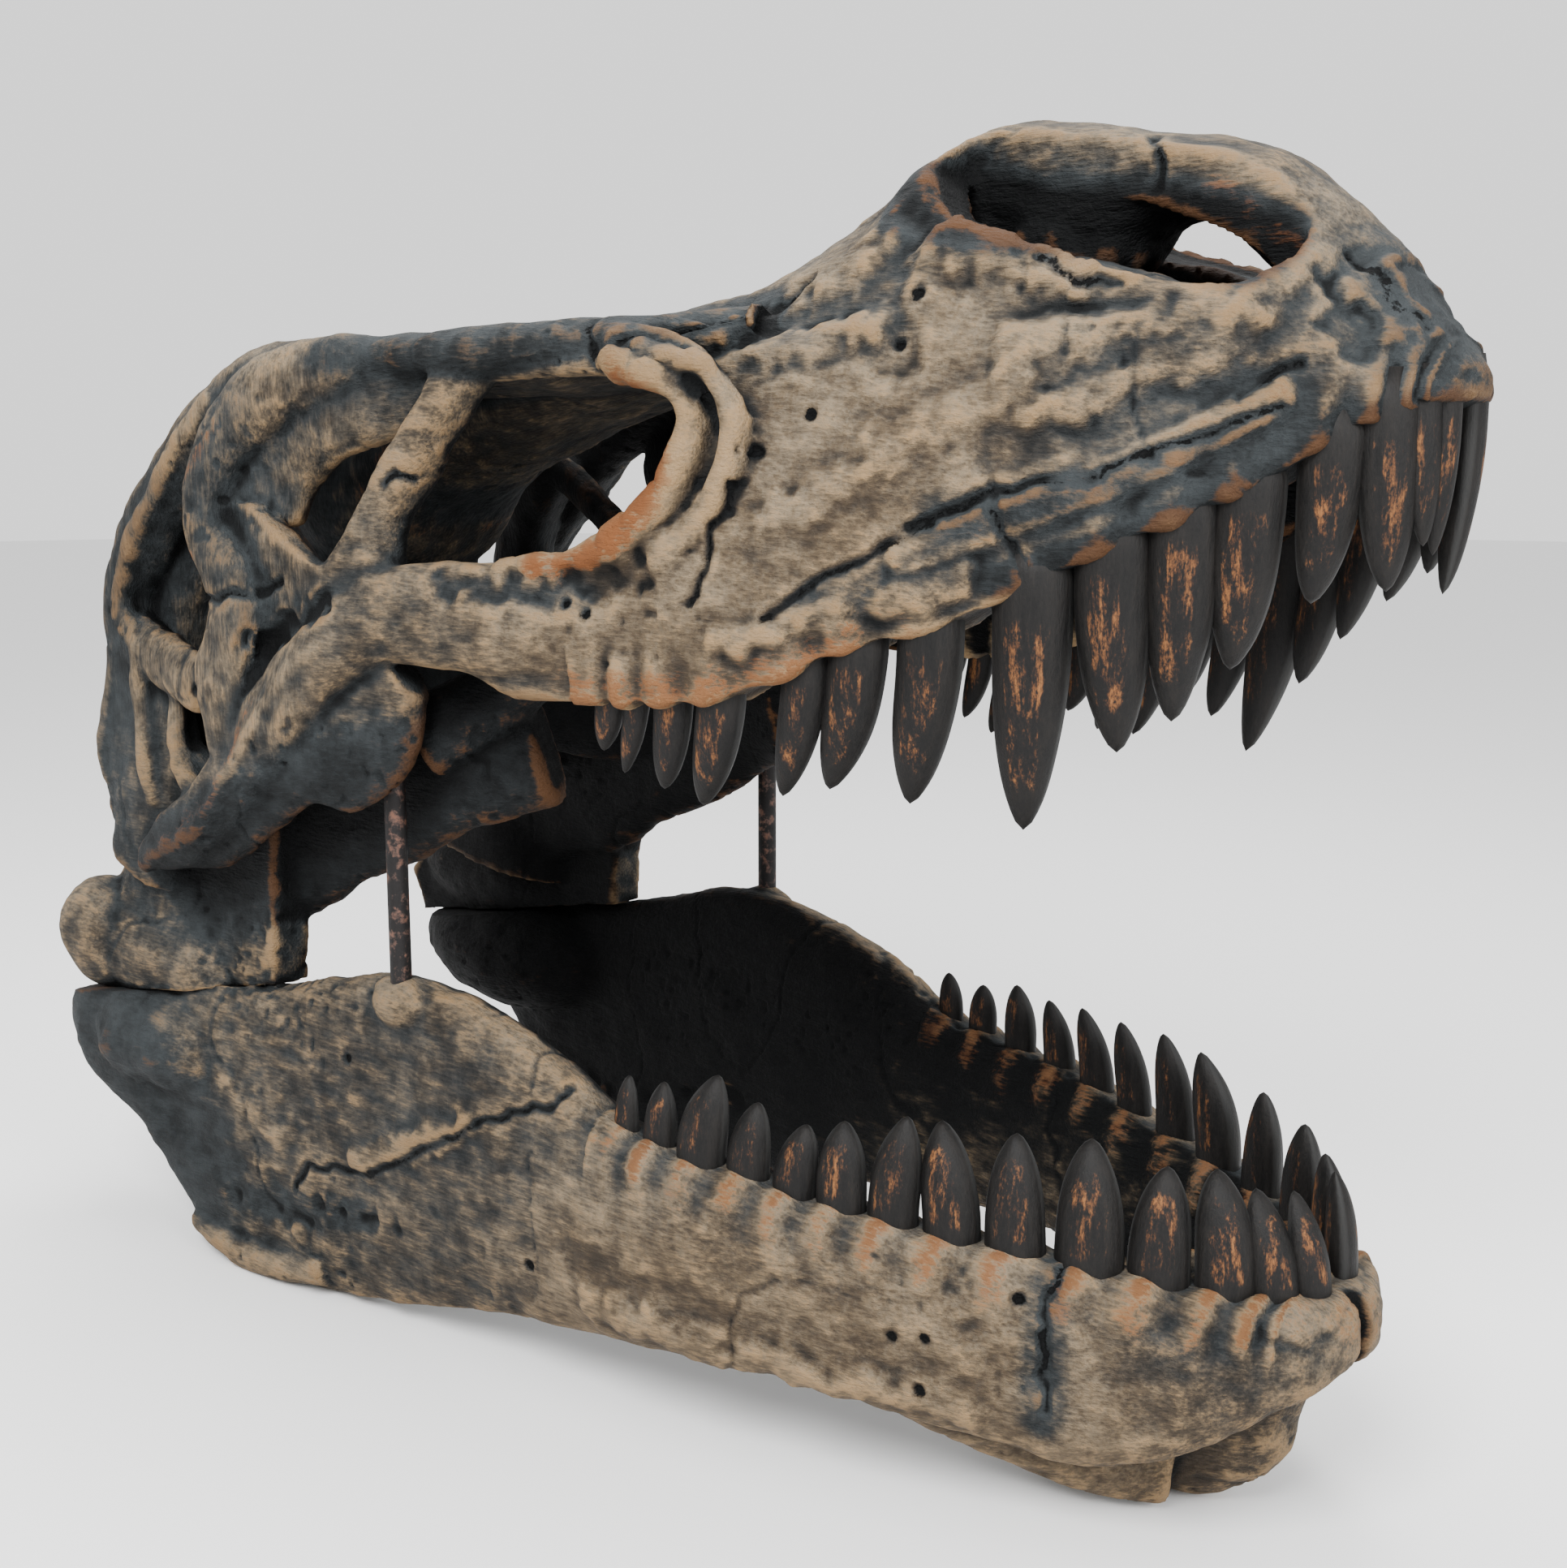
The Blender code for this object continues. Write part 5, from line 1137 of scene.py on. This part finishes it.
tooth_finish, shader, place = new_finish("fossil_tooth_surface")
along = painted(place, "along")
keel = painted(place, "edge")
streak = speckle(place, 120, 5, 0.7, (1, 1, 0.16))
fleck = speckle(place, 500, 4, 0.7, (1, 1, 0.5))
body = (streak + fleck * 0.6).between(0.55, 1.1).tint(ENAMEL, WORN_ENAMEL)
middle = (1 - keel).between(0.05, 0.55) * along.between(0.0, 0.18) * (1 - along.between(0.72, 0.96))
stained = (streak * 1.2 + fleck * 0.7 + middle * 0.50).between(1.42, 1.72) * middle
colour = stained.tint(body, streak.between(0.4, 0.7).tint(STAIN, PALE_STAIN))
colour = (keel.between(0.93, 1.0) * 0.5).tint(colour, KEEL_GREY)
feed(shader, "Base Color", colour)
feed(shader, "Roughness", 0.38 + streak * 0.35)
shader.inputs["Specular IOR Level"].default_value = 0.15
bump = place.node("Bump", (), {"Strength": 0.5, "Distance": 0.002, "Height": streak + fleck * 0.4})
feed(shader, "Normal", bump)

# ---------------------------------------------------------------- parting into bones
# Each bone is cut out of the skin by a side-view outline and a reach from the middle
# plane, in the order that they overlap, and what is left is the last bone.

FAR = 1.3               # past every side of the skull
MIDDLE = {
    "nasal": ([(0.10, 0.86), (0.47, 0.925), (0.765, 0.925), (0.765, FAR), (0.10, FAR)], 0.075),
    "braincase": ([(-FAR, 0.50), (0.09, 0.50), (0.09, FAR), (-FAR, FAR)], 0.145),
}
SIDES = {
    "premaxilla": ([(0.786, 0.5), (0.786, 0.870), (0.770, 0.940), (0.765, FAR),
                    (FAR, FAR), (FAR, 0.5)], -1, 1),
    "maxilla": ([(0.235, 0.5), (0.235, 0.660), (0.275, 0.740), (0.300, 0.830), (0.270, 0.900),
                 (0.255, FAR), (FAR, FAR), (FAR, 0.5)], -1, 1),
    "lacrimal": ([(-0.02, 0.716), (0.10, 0.700), (0.30, 0.730), (FAR, 0.8), (FAR, FAR),
                  (0.02, FAR), (0.015, 0.90), (0.04, 0.80)], -1, 1),
    "postorbital": ([(-0.235, 0.600), (-0.130, 0.640), (-0.060, 0.640), (-0.020, 0.716),
                     (0.04, 0.80), (FAR, 0.9), (FAR, FAR), (-0.170, FAR), (-0.200, 0.900),
                     (-0.250, 0.800)], -1, 1),
    "pterygoid": ([(-0.270, 0.1), (FAR, 0.1), (FAR, 0.640), (-0.250, 0.640)], -1, 0.262),
    "jugal": ([(-0.335, 0.30), (FAR, 0.30), (FAR, 0.80), (-0.235, 0.70), (-0.250, 0.55),
               (-0.330, 0.46)], 0.2, 1),
    "quadrate": ([(-FAR, 0.1), (FAR, 0.1), (FAR, 0.46), (-FAR, 0.46)], -1, 1),
}
JAW_SIDES = {
    "dentary": ([(0.240, 0.5), (0.228, 0.285), (0.112, 0.235), (0.020, 0.183), (-0.064, 0.146),
                 (-0.130, 0.138), (-0.175, -0.2), (FAR, -0.2), (FAR, 0.5)], -1, 1),
}


def inside(points, outline):
    """Whether each (x, z) lies within the outline."""
    x, z = points[:, 0], points[:, 1]
    found = np.zeros(len(points), bool)
    for (ax, az), (bx, bz) in zip(outline, outline[1:] + outline[:1]):
        if az != bz:
            crosses = (az > z) != (bz > z)
            found ^= crosses & (x < (bx - ax) * (z - az) / (bz - az) + ax)
    return found


to_frame = Matrix.Translation(((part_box("rod_left")[0].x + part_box("rod_left")[1].x) / 2, 0, 0))


def show(piece, name, finish, *nodes):
    """Puts a finished piece in the scene, in place of its nodes."""
    piece.name = name
    piece.data.transform(to_frame)
    piece.data.materials.clear()
    piece.data.materials.append(finish)
    piece.hide_render = False
    workshop.objects.unlink(piece)
    bpy.context.scene.collection.objects.link(piece)
    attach(piece, "root")
    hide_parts(*nodes)


def part_out(surface, name, chosen):
    """The chosen faces as one piece that keeps the whole skin's shading."""
    shape = bmesh.new()
    shape.from_mesh(surface.mesh)
    drop = [face for face, keep in zip(shape.faces, chosen) if not keep]
    bmesh.ops.delete(shape, geom=drop, context="FACES")
    loose = [vertex for vertex in shape.verts if not vertex.link_faces]
    bmesh.ops.delete(shape, geom=loose, context="VERTS")
    piece = drawn(name, shape)
    piece.data.shade_smooth()
    used = np.unique(surface.corners[chosen[surface.owners]])
    piece.data.normals_split_custom_set_from_vertices(surface.normals[used])
    return piece


def parted(surface, cells, rest, middle_cells=()):
    """Every bone of a skin as its own piece."""
    faces = surface.mesh.polygons
    sizes = surface.read(faces, "loop_total", 1, np.int32)[:, 0]
    surface.corners = surface.read(surface.mesh.loops, "vertex_index", 1, np.int32)[:, 0]
    surface.owners = np.repeat(np.arange(len(faces)), sizes)
    centres = surface.read(faces, "center", 3)
    flat, out = centres[:, (0, 2)], np.abs(centres[:, 1])
    left = np.ones(len(centres), bool)
    for name, (outline, reach) in dict(middle_cells).items():
        chosen = inside(flat, outline) & (out < reach) & left
        left &= ~chosen
        show(part_out(surface, name, chosen), name + "_bone", bone_finish, name)
    everything = [(-FAR, -FAR), (FAR, -FAR), (FAR, FAR), (-FAR, FAR)]
    for name, (outline, inner, outer) in {**cells, rest: (everything, -1, 1)}.items():
        cell = inside(flat, outline) & (out > inner) & (out < outer) & left
        left &= ~cell
        for end, side in (("_left", 1), ("_right", -1)):
            piece = part_out(surface, name + end, cell & (centres[:, 1] * side > 0))
            show(piece, name + end + "_bone", bone_finish, name + end)


parted(cranium, SIDES, "squamosal", MIDDLE)
parted(jaw, JAW_SIDES, "surangular")
for row in teeth:
    bone = row.name.removesuffix("_teeth")
    row.data.shade_smooth()
    show(row, bone + "_crowns", tooth_finish, bone)

# ---------------------------------------------------------------- display rods
# Two slim steel rods carry the weight of the cranium. Each stands in a drilled socket
# in the jaw and goes up into the cranium, painted dark and spotted with rust.

ROD_RADIUS = 0.0098
ROD_OUT = 0.246
ROD_FOOT = 0.300
ROD_TOP = 0.530
SHARP = 0.7             # radians between faces that make a crease

rod_finish, shader, place = new_finish("rusting_rod")
spots = speckle(place, 70, 6, 0.7)
dirt = speckle(place, 260, 4, 0.7)
feed(shader, "Base Color", spots.between(0.50, 0.68).tint(PAINT, ROD_RUST))
feed(shader, "Metallic", 0.75 - spots.between(0.50, 0.62) * 0.7)
feed(shader, "Roughness", 0.38 + dirt * 0.40)
feed(shader, "Normal", place.node("Bump", (), {"Strength": 0.35, "Distance": 0.001,
                                               "Height": dirt + spots}))
ROD_SIDES = 32
BEVEL = 0.001           # of the rods' ends
rod_rings = [(ROD_FOOT, ROD_RADIUS - BEVEL), (ROD_FOOT + BEVEL, ROD_RADIUS),
             *[(z, ROD_RADIUS) for z in np.linspace(ROD_FOOT + 0.02, ROD_TOP - 0.02, 12)],
             (ROD_TOP - BEVEL, ROD_RADIUS), (ROD_TOP, ROD_RADIUS - BEVEL)]
turns = [2 * pi * k / ROD_SIDES for k in range(ROD_SIDES)]
for end, side in (("_left", 1), ("_right", -1)):
    rings = [[Vector((r * cos(turn), side * ROD_OUT + r * sin(turn), z)) for turn in turns]
             for z, r in rod_rings]
    rod = loft("rod" + end + "_bar", rings)
    rod.data.shade_smooth()
    rod.data.set_sharp_from_angle(angle=SHARP)
    show(rod, "rod" + end + "_bar", rod_finish, "rod" + end)

# ---------------------------------------------------------------- floor, light and camera
# A plain pale studio: a white floor in a white surround, large soft lamps above, in
# front and to the right, and the camera low in front of the skull's right cheek.

floor_finish, shader, place = new_finish("studio_floor")
shader.inputs["Base Color"].default_value = (0.80, 0.80, 0.80, 1)
shader.inputs["Roughness"].default_value = 0.9
shape = bmesh.new()
bmesh.ops.create_circle(shape, cap_ends=True, segments=96, radius=14)
mesh = bpy.data.meshes.new("studio_floor")
shape.to_mesh(mesh)
shape.free()
floor = bpy.data.objects.new("studio_floor", mesh)
floor.data.materials.append(floor_finish)
bpy.context.scene.collection.objects.link(floor)

world = bpy.data.worlds.new("studio_air")
world.use_nodes = True
world.node_tree.nodes["Background"].inputs["Color"].default_value = (1, 1, 1, 1)
world.node_tree.nodes["Background"].inputs["Strength"].default_value = 1.4
bpy.context.scene.world = world


def lamp(name, place, aim, size, watts):
    light = bpy.data.lights.new(name, "AREA")
    light.shape = "DISK"
    light.size = size
    light.energy = watts
    holder = bpy.data.objects.new(name, light)
    holder.location = place
    holder.rotation_euler = (Vector(aim) - Vector(place)).to_track_quat("-Z", "Y").to_euler()
    bpy.context.scene.collection.objects.link(holder)


lamp("soft_key", (1.2, -2.6, 2.9), (0, 0, 0.6), 1.8, 250)
lamp("soft_front", (3.0, -0.6, 1.6), (0.2, 0, 0.6), 1.6, 80)
lamp("soft_top", (-0.4, 0.5, 3.2), (0, 0, 0.6), 2.2, 110)

SENSOR = 36.0
IMAGE_WIDTH = 1931
FOCAL = 2450            # focal length in widths of a pixel
AZIMUTH = radians(42.4)
ELEVATION = radians(10.25)
EYE = Vector((1.4438, -1.3088, 0.8438))

camera = bpy.data.cameras.new("camera")
camera.sensor_width = SENSOR
camera.lens = SENSOR * FOCAL / IMAGE_WIDTH
camera.clip_end = 60
eye = bpy.data.objects.new("camera", camera)
eye.location = to_frame @ EYE
eye.rotation_euler = (pi / 2 - ELEVATION, 0, AZIMUTH)
bpy.context.scene.collection.objects.link(eye)
bpy.context.scene.camera = eye
